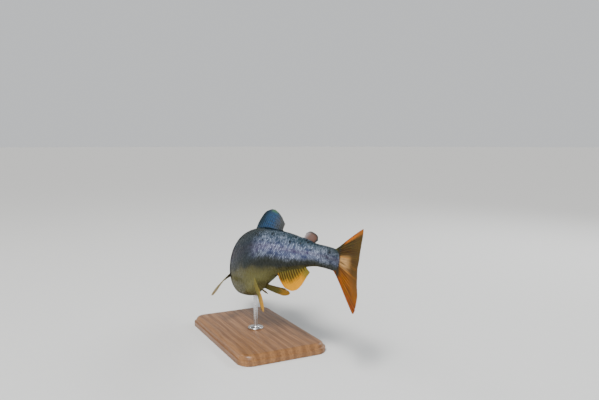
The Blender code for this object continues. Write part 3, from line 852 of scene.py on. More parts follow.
def coatUv(s, angle, form):
    # each scale is a small patch at its root's place on the skin's unwrap, stretched to fill the map
    u = 0.02 + 0.96 * (s - s.min()) / (s.max() - s.min()) + (form[:, 0] - 0.5) * coatLook["patch"]
    v = 0.5 + 0.96 * angle / (math.pi + 0.02) + form[:, 1] * coatLook["patch"] / 2
    return np.stack([u + 0 * v, v + 0 * u], -1)


def scaleMaterial():
    material, desk, shader = newMaterial("trout scales", Coat_Weight=0.03, Coat_Roughness=0.12,
                                         Specular_IOR_Level=0.08)
    place = desk.attribute("fishPlace")
    band = desk.split(desk.attribute("fishBand"))
    spot = desk.split(desk.attribute("scaleSpot"))  # along the scale, across it, luck
    worn = useGroup(desk, markings, Place=place, Band=band["X"])
    # a bright silvery middle with a ragged edge: the scale's own silver painted up into a white-blue glint,
    # in broad patches of painted sheen
    across = desk.times(spot["Y"], spot["Y"])
    behind = desk.minus(spot["X"], 0.74)
    away = desk.plus(desk.times(behind, behind, 12.0), desk.times(across, 1.4))
    ragged = desk.plus(away, desk.wander(place, 1100.0, 3.0, 0.85, 0.6))
    glint = desk.plus(desk.ramp(ragged, 0.44, 0.04, 0.0, 0.80), desk.ramp(away, 0.80, 0.30, 0.0, 0.04))
    sheenPatches = desk.ramp(desk.noise(place, 90.0, 2.0), 0.38, 0.62, 0.28, 0.84)
    along = desk.math("DIVIDE", desk.split(place)["X"], fishShape["length"])
    glint = desk.times(glint, worn["Silver"], sheenPatches, desk.ramp(spot["Z"], 0.0, 1.0, 0.35, 1.15),
                       desk.ramp(along, 0.20, 0.34, 0.30, 1.0), desk.minus(1.0, worn["Spot"]))
    # a thin dark hem round the free edge
    rear = desk.math("DIVIDE", desk.minus(spot["X"], coatLook["middle"]), 1 - coatLook["middle"])
    rear = desk.math("MAXIMUM", rear, 0.0)
    rim = desk.ramp(desk.plus(desk.times(rear, rear), across), 0.60, 0.95)
    colour = desk.paint(worn["Color"], coatLook["hem"], rim, desk.ramp(band["X"], -0.85, -0.20, 0.50, 0.90))
    colour = desk.paint(colour, coatLook["glint"], glint)
    colour = desk.paint(colour, coatLook["pore"], band["Z"], desk.ramp(away, 0.25, 0.02), 0.5)
    desk.join(colour, shader["Base Color"])
    desk.join(desk.ramp(spot["Z"], 0.0, 1.0, 0.24, 0.40), shader["Roughness"])
    desk.join(desk.times(glint, 0.65), shader["Metallic"])
    desk.bump(shader, desk.math("SINE", desk.times(away, 26.0)), 0.06, 0.0001)
    return material


makeCoat()


# the fins: rays raised on both sides of a thin web; u runs along the base and v out along the rays
finBuild = {
    "rootThick": 2.4,  # mm
    "edgeThick": 0.42,
    "webShare": 0.36,  # of the thickness, between the rays
    "notch": 0.022,  # how far the margin steps in between the rays
    "fray": 0.010,
    "sink": 0.020,  # how deep the root stands in the body
    "thinEdge": 0.55,
}

dorsalFin = {
    "node": "dorsal_fin", "kind": "middle", "side": 1, "base": (0.396, 0.620),
    "margin": ((0.0, 0.466, 0.077), (0.2, 0.500, 0.086), (0.4, 0.533, 0.085), (0.6, 0.570, 0.074),
               (0.8, 0.613, 0.055), (1.0, 0.657, 0.028)),
    "bow": 0.012, "flex": 0.020, "rays": 13, "plainRays": 3, "perRay": 18, "steps": 56,
    "ripple": 0.9, "seed": 3, "gloss": 0.10,
    "paint": {
        "Root": (0.014, 0.030, 0.046), "Middle": (0.016, 0.062, 0.160), "Tip": (0.005, 0.024, 0.030),
        "Front": (0.001, 0.010, 0.012), "Rear": (0.075, 0.060, 0.032), "Ray": (0.040, 0.090, 0.165),
        "Web": (0.006, 0.013, 0.018), "Root Reach": 0.35, "Tip Start": 0.80, "Front Width": 0.62,
        "Rear Start": 0.50, "Ray Strength": 0.28, "Web Strength": 0.35, "Blotch": 0.25,
    },
    "line": (0.018, 0.024, 0.024), "spot": (0.008, 0.010, 0.012), "edge": (0.09, 0.20, 0.06),
}
adiposeFin = {
    "node": "adipose_fin", "kind": "middle", "side": 1, "base": (0.785, 0.845),
    "margin": ((0.0, 0.800, 0.022), (0.25, 0.824, 0.034), (0.5, 0.854, 0.034), (0.75, 0.875, 0.025),
               (1.0, 0.878, 0.011)),
    "bow": 0.004, "flex": 0.0, "rays": 0, "plainRays": 0, "perRay": 56, "steps": 40,
    "ripple": 0.25, "seed": 4, "gloss": 0.25,
    "paint": {
        "Root": (0.070, 0.058, 0.060), "Middle": (0.120, 0.070, 0.056), "Tip": (0.110, 0.048, 0.030),
        "Front": (0.290, 0.270, 0.280), "Rear": (0.080, 0.030, 0.015), "Ray": (0.3, 0.2, 0.2),
        "Web": (0.060, 0.035, 0.030), "Root Reach": 0.40, "Tip Start": 0.75, "Front Width": 0.42,
        "Rear Start": 0.30, "Ray Strength": 0.0, "Web Strength": 0.0, "Blotch": 0.45,
    },
    "hem": (0.012, 0.016, 0.016), "spot": (0.02, 0.02, 0.02),
}
analFin = {
    "node": "anal_fin", "kind": "middle", "side": -1, "base": (0.652, 0.815),
    "margin": ((0.0, 0.732, 0.074), (0.2, 0.768, 0.088), (0.4, 0.799, 0.086), (0.6, 0.824, 0.070),
               (0.8, 0.843, 0.047), (1.0, 0.864, 0.022)),
    "bow": 0.010, "flex": 0.008, "rays": 12, "plainRays": 2, "perRay": 18, "steps": 56,
    "ripple": 0.8, "seed": 5, "gloss": 0.08,
    "paint": {
        "Root": (0.080, 0.088, 0.022), "Middle": (0.110, 0.070, 0.006), "Tip": (0.640, 0.260, 0.0),
        "Front": (0.500, 0.160, 0.001), "Rear": (0.120, 0.110, 0.016), "Ray": (0.240, 0.170, 0.018),
        "Web": (0.024, 0.008, 0.001), "Root Reach": 0.50, "Tip Start": 0.52, "Front Width": 0.10,
        "Rear Start": 0.68, "Ray Strength": 0.30, "Web Strength": 0.30, "Blotch": 0.15,
    },
    "line": (0.030, 0.014, 0.002),
}
tailFin = {
    "node": "caudal_fin", "kind": "tail", "base": (-0.0365, 0.0350), "start": 0.988,
    "margin": ((0.0, 1.150, -0.152), (0.06, 1.160, -0.138), (0.2, 1.163, -0.094), (0.5, 1.147, 0.0),
               (0.8, 1.154, 0.092), (0.94, 1.161, 0.136), (1.0, 1.158, 0.150)),
    "bow": 0.004, "rays": 19, "plainRays": 2, "perRay": 18, "steps": 70, "ripple": 1.0, "seed": 6,
    "rootThick": 2.6, "gloss": 0.08,
    "paint": {
        "Root": (0.036, 0.024, 0.008), "Middle": (0.090, 0.032, 0.002), "Tip": (0.050, 0.018, 0.002),
        "Front": (0.240, 0.034, 0.001), "Rear": (0.028, 0.028, 0.004), "Ray": (0.110, 0.062, 0.008),
        "Web": (0.026, 0.008, 0.001), "Root Reach": 0.32, "Tip Start": 0.62, "Front Width": 0.16,
        "Rear Start": 0.34, "Ray Strength": 0.36, "Web Strength": 0.50, "Blotch": 0.30,
    },
    "middle": (0.52, 0.30, 0.115), "lowerLobe": (0.620, 0.170, 0.006), "upperEdge": (0.500, 0.120, 0.004),
    "darkStreak": (0.030, 0.010, 0.002), "brightStreak": (0.620, 0.210, 0.008), "streaks": 0.72,
    "margins": (0.070, 0.040, 0.008), "rootLine": (0.018, 0.018, 0.014), "spot": (0.025, 0.020, 0.010),
}
pectoralFins = {
    "kind": "paired", "root": (0.222, 0.050, -0.083), "halfBase": 0.020,
    "margin": ((0.0, -0.004, 0.148), (0.2, 0.018, 0.160), (0.5, 0.044, 0.138), (0.8, 0.056, 0.098),
               (1.0, 0.048, 0.055)),
    "rays": 13, "plainRays": 1, "perRay": 14, "steps": 48, "ripple": 0.6, "seed": 7, "gloss": 0.25,
    "held": {  # node: side, ray direction, direction to the rear ray, cup
        "pectoral_fin_left": (1, (0.50, 0.59, -0.64), (0.98, 0.20, 0.0), 0.8),
        "pectoral_fin_right": (-1, (0.88, 0.18, -0.34), (0.20, 0.72, -0.42), 0.2),
    },
    "paint": {
        "Root": (0.042, 0.044, 0.016), "Middle": (0.110, 0.092, 0.020), "Tip": (0.150, 0.085, 0.016),
        "Front": (0.400, 0.350, 0.200), "Rear": (0.130, 0.115, 0.036), "Ray": (0.240, 0.190, 0.050),
        "Web": (0.040, 0.028, 0.008), "Root Reach": 0.35, "Tip Start": 0.70, "Front Width": 0.12,
        "Rear Start": 0.75, "Ray Strength": 0.45, "Web Strength": 0.40, "Blotch": 0.25,
    },
}
pelvicFins = {
    "kind": "paired", "root": (0.545, 0.026, -0.132), "halfBase": 0.016,
    "margin": ((0.0, -0.002, 0.134), (0.25, 0.018, 0.148), (0.5, 0.034, 0.132), (0.8, 0.043, 0.093),
               (1.0, 0.036, 0.053)),
    "rays": 10, "plainRays": 1, "perRay": 14, "steps": 44, "ripple": 0.5, "seed": 8, "gloss": 0.08,
    "held": {
        "pelvic_fin_left": (1, (0.53, -0.29, -0.80), (0.83, 0.38, 0.41), -0.3),
        "pelvic_fin_right": (-1, (0.90, 0.12, -0.07), (0.30, 0.80, -0.50), 0.3),
    },
    "paint": {
        "Root": (0.040, 0.042, 0.012), "Middle": (0.090, 0.082, 0.016), "Tip": (0.480, 0.220, 0.020),
        "Front": (0.045, 0.024, 0.006), "Rear": (0.130, 0.115, 0.026), "Ray": (0.210, 0.165, 0.045),
        "Web": (0.040, 0.026, 0.006), "Root Reach": 0.30, "Tip Start": 0.62, "Front Width": 0.20,
        "Rear Start": 0.80, "Ray Strength": 0.45, "Web Strength": 0.38, "Blotch": 0.22,
    },
}


def between(pair, share):
    return pair[0] * (1 - share) + pair[1] * share


def middleFinPlace(fin, u, v):
    # a fin on the back (side 1) or the belly (side -1)
    column = 1 if fin["side"] > 0 else 2

    def outline(s):
        return smoothValue(fishShape["outline"], s, column)

    roots = [float(outline(s)) - finBuild["sink"] for s in fin["base"]]
    margin = [(share, s, float(outline(s)) + height) for share, s, height in fin["margin"]]
    s = between(fin["base"], u) * (1 - v) + smoothValue(margin, u, 1) * v - fin["bow"] * 4 * v * (1 - v)
    z = between(roots, u) * (1 - v) + smoothValue(margin, u, 2) * v
    return s, fin["flex"] * u * v ** 2, fin["side"] * z


def tailFinPlace(fin, u, v):
    s = fin["start"] * (1 - v) + smoothValue(fin["margin"], u, 1) * v
    z = between(fin["base"], u) * (1 - v) + smoothValue(fin["margin"], u, 2) * v
    return s, 0 * s, z + fin["bow"] * (2 * u - 1) * 4 * v * (1 - v)


def pairedFinPlace(fin, u, v, held):
    side, out, spread, cup = held
    out, spread = np.array(out), np.array(spread)
    out = out / np.linalg.norm(out)
    spread = spread - out * spread.dot(out)
    spread = spread / np.linalg.norm(spread)
    lift = np.cross(out, spread)
    halfBase = fin["halfBase"]
    across = between((-halfBase, halfBase), u) * (1 - v) + smoothValue(fin["margin"], u, 1) * v
    reach = (-finBuild["sink"] * (1 - v) + smoothValue(fin["margin"], u, 2) * v)[..., None]
    place = np.array(fin["root"]) + across[..., None] * spread + reach * out + cup * reach ** 2 * lift
    return place[..., 0], side * place[..., 1], place[..., 2]


def rayPattern(fin, u, v):
    # 1 along the raised rays, which fork twice on their way out
    if not fin["rays"]:
        return 0 * u * v
    place = u * fin["rays"] * 0.9999
    t = place - np.floor(place) - 0.5
    forked = place >= fin["plainRays"]
    first = 0.25 * softStep(v, 0.32, 0.80) * forked
    second = 0.125 * softStep(v, 0.60, 1.0) * forked
    width = 0.20 - 0.125 * softStep(v, 0.20, 0.92)
    branches = [hump(t - a * first - b * second, width) for a in (-1, 1) for b in (-1, 1)]
    return np.max(branches, axis=0)


def makeFin(fin, material, node, held=None):
    columns = max(1, fin["rays"]) * fin["perRay"] + 1
    u, v = np.meshgrid(np.linspace(0, 1, columns), np.linspace(0, 1, fin["steps"]), indexing="ij")
    rays = rayPattern(fin, u, v)
    edge = rayPattern(fin, u, 0 * v + 1)
    fray = 0.5 + 0.5 * waves(u * 40, 0 * u, fin["seed"])
    reach = v * (1 - finBuild["notch"] * (1 - edge) * (fin["rays"] > 0) - finBuild["fray"] * fray)
    if fin["kind"] == "middle":
        s, y, z = middleFinPlace(fin, u, reach)
    elif fin["kind"] == "tail":
        s, y, z = tailFinPlace(fin, u, reach)
    else:
        s, y, z = pairedFinPlace(fin, u, reach, held)
    sheet = placePoints(s, y, z)
    normal = gridNormals(sheet)
    ripple = fin["ripple"] * 0.001 * v ** 1.5 * waves(u * 7, v * 2.5, fin["seed"] + 20)
    sheet = sheet + normal * ripple[..., None]
    root, thin = fin.get("rootThick", finBuild["rootThick"]), finBuild["edgeThick"]
    half = (thin + (root - thin) * (1 - v) ** 1.4) / 2
    web = finBuild["webShare"] if fin["rays"] else 1.0
    web = web + (1 - web) * softDrop(v, 0.02, 0.16)  # the root is fleshy
    half = half * (web + (1 - web) * rays) * 0.001
    if not fin["rays"]:
        half = half * np.sqrt(np.clip(1 - (2 * u - 1) ** 8, 0.05, 1)) * 1.15
    half = half * (1 - finBuild["thinEdge"] * softStep(v, 0.93, 1.0))
    points = np.stack([sheet + normal * half[..., None], sheet - normal * half[..., None]])
    rows, steps = u.shape
    back = rows * steps
    front = gridQuads(rows, steps)
    rim = np.concatenate([
        np.arange(rows) * steps,
        (rows - 1) * steps + np.arange(1, steps),
        np.arange(rows - 2, -1, -1) * steps + steps - 1,
        np.arange(steps - 2, 0, -1),
    ])
    after = np.roll(rim, -1)
    sides = np.stack([after, rim, rim + back, after + back], -1)
    mesh = closedMesh(node, points.reshape(-1, 3), np.concatenate([front, front[:, ::-1] + back, sides]))
    addVectors(mesh, "fishPlace", np.stack([np.stack([s, y, z], -1)] * 2) * fishShape["length"])
    addVectors(mesh, "finPlace", np.stack([np.stack([u, v, rays], -1)] * 2))
    return addPiece(node.replace("_", "") + "Skin", mesh, material, (node,), 60)


def finPaint():
    # colours from the root to the margin, with the rays, the front edge and the rear edge picked out
    inputs = [(name, "Vector", (0, 0, 0)) for name in ("Fin Place", "Fish Place")]
    for name, value in dorsalFin["paint"].items():
        inputs.append((name, "Color" if isinstance(value, tuple) else "Float", value))
    tree, desk, given, out = newGroup("fin paint", inputs, [("Color", "Color"), ("Height", "Float")])
    place, fish = desk.split(given["Fin Place"]), given["Fish Place"]
    wander = desk.wander(fish, 75.0, 3.0, 0.45, 0.6)
    outward, rearward = desk.plus(place["Y"], wander), desk.plus(place["X"], wander)
    rootEnd, tipStart = given["Root Reach"], given["Tip Start"]
    middle = desk.ramp(outward, desk.times(rootEnd, 0.25), rootEnd)
    colour = desk.paint(given["Root"], given["Middle"], middle)
    colour = desk.paint(colour, given["Tip"], desk.ramp(outward, tipStart, desk.plus(tipStart, 0.25)))
    colour = desk.paint(colour, given["Rear"], desk.ramp(rearward, given["Rear Start"], 1.0))
    colour = desk.paint(colour, given["Front"], desk.ramp(rearward, given["Front Width"], 0.0))
    fleshy = desk.ramp(place["Y"], 0.08, 0.22)
    colour = desk.paint(colour, given["Web"], desk.minus(1.0, place["Z"]), given["Web Strength"], fleshy)
    colour = desk.paint(colour, given["Ray"], place["Z"], given["Ray Strength"], fleshy)
    blotch = desk.ramp(desk.noise(fish, 190.0, 4.0, 0.65), 0.50, 0.72)
    colour = desk.paint(colour, given["Web"], blotch, given["Blotch"])
    # the rays are jointed across, finer towards the margin
    joints = desk.math("SINE", desk.times(desk.math("POWER", place["Y"], 0.8), 260.0))
    joints = desk.times(desk.ramp(joints, 0.2, 1.0), place["Z"], -0.6)
    desk.join(colour, out["Color"])
    desk.join(desk.plus(joints, desk.noise(fish, 2600.0, 2.0)), out["Height"])
    return tree


finPaintGroup = finPaint()


def finMaterial(name, fin, more=None):
    material, desk, shader = newMaterial(
        name, Roughness=0.42, Coat_Weight=0.4 * fin["gloss"], Coat_Roughness=0.15,
        Specular_IOR_Level=fin["gloss"], Subsurface_Weight=0.06, Subsurface_Scale=0.0015,
        Subsurface_Radius=(1.0, 0.6, 0.3))
    finPlace, fishPlace = desk.attribute("finPlace"), desk.attribute("fishPlace")
    worn = useGroup(desk, finPaintGroup, Fin_Place=finPlace, Fish_Place=fishPlace, **fin["paint"])
    colour = more(desk, finPlace, fishPlace, worn["Color"]) if more else worn["Color"]
    desk.join(colour, shader["Base Color"])
    desk.bump(shader, worn["Height"], 0.35, 0.00025)
    return material


def dorsalDetail(desk, finPlace, fishPlace, colour):
    # rows of dark spots and thin dark lines that run along the fin, and a green tinge at the top
    place = desk.split(finPlace)
    lines = desk.plus(place["Y"], desk.wander(fishPlace, 120.0, 2.0, 0.10))
    lines = desk.ramp(desk.math("SINE", desk.times(lines, 46.0)), 0.25, 0.85)
    rear, high = desk.ramp(place["X"], 0.22, 0.55), desk.ramp(place["Y"], 0.10, 0.25)
    colour = desk.paint(colour, dorsalFin["line"], lines, rear, high, 0.62)
    spot = desk.dots(desk.stretch(finPlace, (19.0, 9.5, 0.0)), 1.0, 0.55, 0.34, 0.22)
    colour = desk.paint(colour, dorsalFin["spot"], spot, desk.ramp(place["Y"], 0.14, 0.24), 0.82)
    edge = desk.hill(place["X"], 0.26, 0.36, 0.50, 0.66)
    return desk.paint(colour, dorsalFin["edge"], edge, desk.ramp(place["Y"], 0.88, 0.96), 0.40)


def adiposeDetail(desk, finPlace, fishPlace, colour):
    # a dark hem along the rear and the top, and a few spots
    place = desk.split(finPlace)
    rear = desk.ramp(desk.plus(place["X"], desk.times(place["Y"], 0.25)), 0.98, 1.15)
    top = desk.times(desk.ramp(place["Y"], 0.86, 0.96), 0.8)
    colour = desk.paint(colour, adiposeFin["hem"], desk.math("MAXIMUM", rear, top))
    return desk.paint(colour, adiposeFin["spot"], desk.dots(fishPlace, 210.0, 0.9, 0.30, 0.18), 0.55)


def analDetail(desk, finPlace, fishPlace, colour):
    # dark lines that fan out between the rays and fade towards the orange margin
    place = desk.split(finPlace)
    lines = desk.math("POWER", desk.minus(1.0, place["Z"]), 1.6)
    return desk.paint(colour, analFin["line"], lines, desk.hill(place["Y"], 0.14, 0.26, 0.45, 0.95), 0.80)


def tailDetail(desk, finPlace, fishPlace, colour):
    # pale near the middle of the root, then the lower lobe's bright rays and the orange upper edge
    x, y, ray = desk.split(finPlace)
    middle = desk.times(desk.hill(x, 0.34, 0.50, 0.58, 0.72), desk.hill(y, 0.16, 0.28, 0.45, 0.80))
    colour = desk.paint(colour, tailFin["middle"], middle, 0.70)
    lower, upper = desk.ramp(x, 0.50, 0.22), desk.ramp(x, 0.90, 0.97)
    colour = desk.paint(colour, tailFin["lowerLobe"], lower, ray, desk.ramp(y, 0.18, 0.35), 0.55)
    colour = desk.paint(colour, tailFin["upperEdge"], upper, desk.ramp(y, 0.25, 0.45), 0.85)
    # dark and bright streaks along the rays, each a few rays wide
    streak = desk.noise(desk.stretch(finPlace, (13.0, 0.9, 0.0)), 1.0)
    reach = desk.times(desk.ramp(y, 0.12, 0.30), tailFin["streaks"])
    colour = desk.paint(colour, tailFin["darkStreak"], desk.ramp(streak, 0.50, 0.34), reach)
    colour = desk.paint(colour, tailFin["brightStreak"], desk.ramp(streak, 0.58, 0.72), reach, 0.6)
    # duller towards the margin, a dark line at the root and faint rows of spots
    colour = desk.paint(colour, tailFin["margins"], desk.ramp(y, 0.55, 0.92), desk.ramp(x, 0.10, 0.26), 0.50)
    colour = desk.paint(colour, tailFin["rootLine"], desk.hill(y, 0.10, 0.15, 0.17, 0.24), 0.80)
    spot = desk.dots(fishPlace, 150.0, 0.85, 0.27, 0.17)
    return desk.paint(colour, tailFin["spot"], spot, desk.ramp(x, 0.45, 0.80), 0.55)


def makeFins():
    for fin, name, slot, more in (
        (dorsalFin, "dorsal fin", "fin_dark", dorsalDetail),
        (adiposeFin, "adipose fin", "fin_dark", adiposeDetail),
        (analFin, "anal fin", "fin_amber", analDetail),
        (tailFin, "tail fin", "fin_amber", tailDetail),
        (pectoralFins, "pectoral fin", "fin_amber", None),
        (pelvicFins, "pelvic fin", "fin_amber", None),
    ):
        material = finMaterial(name, fin, more)
        for node, held in fin.get("held", {fin.get("node"): None}).items():
            makeFin(fin, material, node, held)


makeFins()
print("fins made")


# the eyes: glossy model eyes with a brassy, mottled iris round a black pupil
eyeLook = {
    "across": 0.0210,
    "outward": 0.0125,
    "sunk": 0.0085,
    "rings": 56,
    "columns": 96,
    "pupil": 0.40,  # of the visible radius
    "pupilPoint": 0.07,  # how far the pupil's front corner is drawn out
    "brass": (0.42, 0.33, 0.13),
    "gold": (0.78, 0.58, 0.20),
    "shade": (0.050, 0.045, 0.030),
    "crown": (0.030, 0.034, 0.030),
    "rim": (0.012, 0.013, 0.012),
    "black": (0.002, 0.002, 0.003),
}


def eyeMaterial():
    material, desk, shader = newMaterial(
        "trout eye", Roughness=0.12, Coat_Weight=1.0, Coat_Roughness=0.015, Coat_IOR=1.45)
    place = desk.attribute("eyePlace")  # forward, up, radius
    forward, up, radius = desk.split(place)
    mottle = desk.noise(place, 5.5, 5.0, 0.65)
    fine = desk.noise(desk.stretch(place, (14.0, 14.0, 3.0)), 1.6, 4.0, 0.7)
    colour = desk.paint(eyeLook["shade"], eyeLook["brass"], desk.ramp(fine, 0.35, 0.65))
    colour = desk.paint(colour, eyeLook["shade"], desk.ramp(mottle, 0.50, 0.66, 0.0, 0.85))
    colour = desk.paint(colour, eyeLook["crown"], desk.ramp(up, 0.10, 0.62), 0.75)
    # the pupil is drawn out a little towards the snout
    point = desk.times(desk.ramp(forward, 0.0, 0.45), eyeLook["pupilPoint"])
    beyond = desk.minus(radius, desk.plus(eyeLook["pupil"], point))
    colour = desk.paint(colour, eyeLook["gold"], desk.hill(beyond, 0.0, 0.03, 0.06, 0.13), 0.85)
    colour = desk.paint(colour, eyeLook["rim"], desk.ramp(radius, 0.74, 0.90))
    pupil = desk.ramp(beyond, 0.012, -0.012)
    desk.join(desk.paint(colour, eyeLook["black"], pupil), shader["Base Color"])
    metal = desk.times(desk.minus(1.0, pupil), desk.ramp(radius, 0.88, 0.72, 0.0, 0.75))
    desk.join(metal, shader["Metallic"])
    return material


def makeEyes():
    material = eyeMaterial()
    station, across, outward = eyePlace[0], eyeLook["across"], eyeLook["outward"]
    angle = math.asin(eyePlace[1] / float(smoothValue(fishShape["outline"], station, 1)))
    flank, height = bodySection(station, angle)
    middle = flank - eyeLook["sunk"]
    turn = np.linspace(0, 2 * math.pi, eyeLook["columns"], endpoint=False)
    lean = np.linspace(0, math.pi, eyeLook["rings"] + 2)[1:-1, None]
    ahead, up = np.sin(lean) * np.cos(turn), np.sin(lean) * np.sin(turn)
    out = middle + outward * (np.cos(lean) + 0 * turn)
    seen = np.where(lean < math.pi / 2, np.sin(lean), 2 - np.sin(lean)) + 0 * turn
    detail = np.concatenate([np.stack([-ahead, up, seen], -1).reshape(-1, 3), [[0, 0, 0], [0, 0, 2]]])
    for side, word in ((1, "left"), (-1, "right")):
        ball = placePoints(station + across * ahead, side * out, height + across * up).reshape(-1, 3)
        poles = placePoints(station, side * np.array([middle + outward, middle - outward]), height)
        mesh = closedMesh("eyeball_" + word, np.concatenate([ball, poles]), *tubeFaces(*ahead.shape))
        addVectors(mesh, "eyePlace", detail)
        addPiece("eyeball_" + word, mesh, material, ("eye_" + word,))


makeEyes()
print("eyes made")


# the stand: a moulded wooden base, a turned flange with three screws, a rod and a small cup at the belly
standLook = {
    "size": (0.250, 0.150),
    "corner": 0.022,
    "cornerSteps": 16,
    # height and inset of the base's edge, from the underside up
    "edge": ((0.0, 0.0010), (0.0004, 0.0003), (0.0010, 0.0), (0.0074, 0.0), (0.0082, 0.0003),
             (0.0086, 0.0010), (0.0088, 0.0022), (0.0093, 0.0030), (0.0102, 0.0034), (0.0116, 0.0037),
             (0.0132, 0.0044), (0.0146, 0.0056), (0.0155, 0.0072), (0.0159, 0.0090), (0.0160, 0.0108)),
    "rodRadius": 0.0035,
    "flangeFoot": 0.0163,
    # radius and height of the turned parts, from below
    "flange": ((0.0126, 0.0), (0.0130, 0.0004), (0.0130, 0.0012), (0.0127, 0.0016), (0.0118, 0.0018),
               (0.0080, 0.0019), (0.0062, 0.0022), (0.0052, 0.0030), (0.0048, 0.0038), (0.0042, 0.0041)),
    "cup": ((0.0035, -0.0080), (0.0041, -0.0078), (0.0044, -0.0070), (0.0042, -0.0062),
            (0.0045, -0.0045), (0.0056, -0.0020), (0.0072, 0.0000), (0.0080, 0.0014), (0.0078, 0.0022),
            (0.0060, 0.0026)),
    "screw": ((0.0019, 0.0), (0.0019, 0.0003), (0.0016, 0.0007), (0.0009, 0.0009)),
    "screwCircle": 0.0100,  # radius of the circle that the screws stand on
    "screwTurns": (30, 150, 270),
    "screwFoot": 0.0018,  # over the flange's foot, as is the rod's
    "rodFoot": 0.0020,
    "rodInBelly": 0.010,
    "woodDark": (0.110, 0.045, 0.016),
    "woodPale": (0.260, 0.125, 0.048),
    "woodPore": (0.018, 0.009, 0.005),
    "steel": (0.62, 0.62, 0.63),
    "steelWorn": (0.50, 0.50, 0.50),
}


def stackPiece(name, rings, material, replaced=(), sharpAngle=35):
    # a closed body from level rings of points, from below up
    rings = np.array(rings)
    points = np.concatenate([rings.reshape(-1, 3), rings[[0, -1]].mean(1)])
    mesh = closedMesh(name, points, *tubeFaces(*rings.shape[:2]))
    addPiece(name, mesh, material, replaced, sharpAngle)


def turnedPiece(name, profile, material, replaced=(), place=(0, 0, 0), segments=72):
    # a body turned about an upright axis, from (radius, height) pairs
    turn = np.linspace(0, 2 * math.pi, segments, endpoint=False)
    rings = [np.stack([r * np.cos(turn), r * np.sin(turn), z + 0 * turn], -1) + place for r, z in profile]
    stackPiece(name, rings, material, replaced)


def baseRing(inset):
    # one ring of the base's rounded outline, drawn in by inset
    length, width = standLook["size"]
    corner, steps = standLook["corner"], standLook["cornerSteps"]
    ring = []
    for quarter, (x, y) in enumerate(((1, 1), (-1, 1), (-1, -1), (1, -1))):
        for turn in (quarter + np.arange(steps + 1) / steps) * math.pi / 2:
            reach = corner - inset
            ring.append((x * (length / 2 - corner) + reach * math.cos(turn),
                         y * (width / 2 - corner) + reach * math.sin(turn)))
    return np.array(ring)


def woodMaterial():
    material, desk, shader = newMaterial(
        "stand wood", Coat_Weight=0.15, Coat_Roughness=0.25, Specular_IOR_Level=0.35)
    place = desk.add("ShaderNodeTexCoord").outputs["Object"]
    bent = desk.noise(desk.stretch(place, (2.2, 9.0, 9.0)), 3.0, 3.0, 0.55, out="Color")
    bent = desk.stretch(desk.swirl(place, bent, 0.016), (0.35, 1.0, 0.6))
    inputs = {"Vector": bent, "Scale": 21.0, "Distortion": 2.2, "Detail": 2.0, "Detail Scale": 1.2}
    rings = desk.add("ShaderNodeTexWave", inputs, wave_type="BANDS", bands_direction="Y").outputs["Fac"]
    fibre = desk.noise(desk.stretch(place, (14.0, 420.0, 420.0)), 1.0, 4.0, 0.6)
    pore = desk.ramp(desk.noise(desk.stretch(place, (60.0, 1500.0, 1500.0)), 1.0, 1.0), 0.62, 0.70)
    dark = standLook["woodDark"]
    colour = desk.paint(standLook["woodPale"], dark, desk.ramp(rings, 0.20, 1.0, 0.0, 0.55))
    colour = desk.paint(colour, dark, desk.ramp(fibre, 0.35, 0.70, 0.0, 0.55))
    desk.join(desk.paint(colour, standLook["woodPore"], pore, 0.6), shader["Base Color"])
    desk.join(desk.ramp(fibre, 0.3, 0.7, 0.34, 0.48), shader["Roughness"])
    desk.bump(shader, desk.minus(desk.times(fibre, 0.4), pore), 0.25, 0.0002)
    return material


def steelMaterial():
    material, desk, shader = newMaterial("stand steel", Metallic=1.0)
    place = desk.add("ShaderNodeTexCoord").outputs["Object"]
    brushed = desk.noise(desk.stretch(place, (40.0, 40.0, 1400.0)), 1.0)
    worn = desk.ramp(desk.noise(place, 120.0, 4.0, 0.6), 0.35, 0.7, 0.0, 0.6)
    desk.join(desk.paint(standLook["steel"], standLook["steelWorn"], worn), shader["Base Color"])
    desk.join(desk.ramp(brushed, 0.3, 0.7, 0.24, 0.32), shader["Roughness"])
    desk.bump(shader, brushed, 0.02, 0.0001)
    return material


def bellyHeight():
    # height of the fish's underside over the middle of the stand
    near = np.linalg.norm(skinWorld[..., :2], axis=-1)
    low = np.where(near < 0.004, skinWorld[..., 2], 9.0)
    return float(low.min())


def makeStand():
    wood, steel = woodMaterial(), steelMaterial()
    rings = [np.insert(baseRing(inset), 2, height, axis=1) for height, inset in standLook["edge"]]
    stackPiece("standBase", rings, wood, ("stand_base",), 25)
    foot, belly, rod = standLook["flangeFoot"], bellyHeight(), standLook["rodRadius"]
    flange = [(r, foot + z) for r, z in standLook["flange"]]
    turnedPiece("standFlange", flange, steel, ("stand_flange",), segments=96)
    rod = ((rod, foot + standLook["rodFoot"]), (rod, belly + standLook["rodInBelly"]))
    turnedPiece("standRod", rod, steel, ("stand_rod",))
    turnedPiece("standCup", [(r, belly + z) for r, z in standLook["cup"]], steel)
    for number, turn in enumerate(np.radians(standLook["screwTurns"])):
        x, y = standLook["screwCircle"] * math.cos(turn), standLook["screwCircle"] * math.sin(turn)
        turnedPiece("standScrew_%d" % (number + 1), standLook["screw"], steel,
                    place=(x, y, foot + standLook["screwFoot"]), segments=32)


makeStand()
print("stand made")


# camera, light and floor
viewSetup = {
    "azimuth": 63.0,
    "elevation": 5.7,
    "lens": 36.06,
    "distance": 2.125,  # to the tail's base, in standard lengths
    "aimRight": 0.0615,  # the tail's base stands this share of the distance right of the middle
    "aimDown": 0.1003,
}


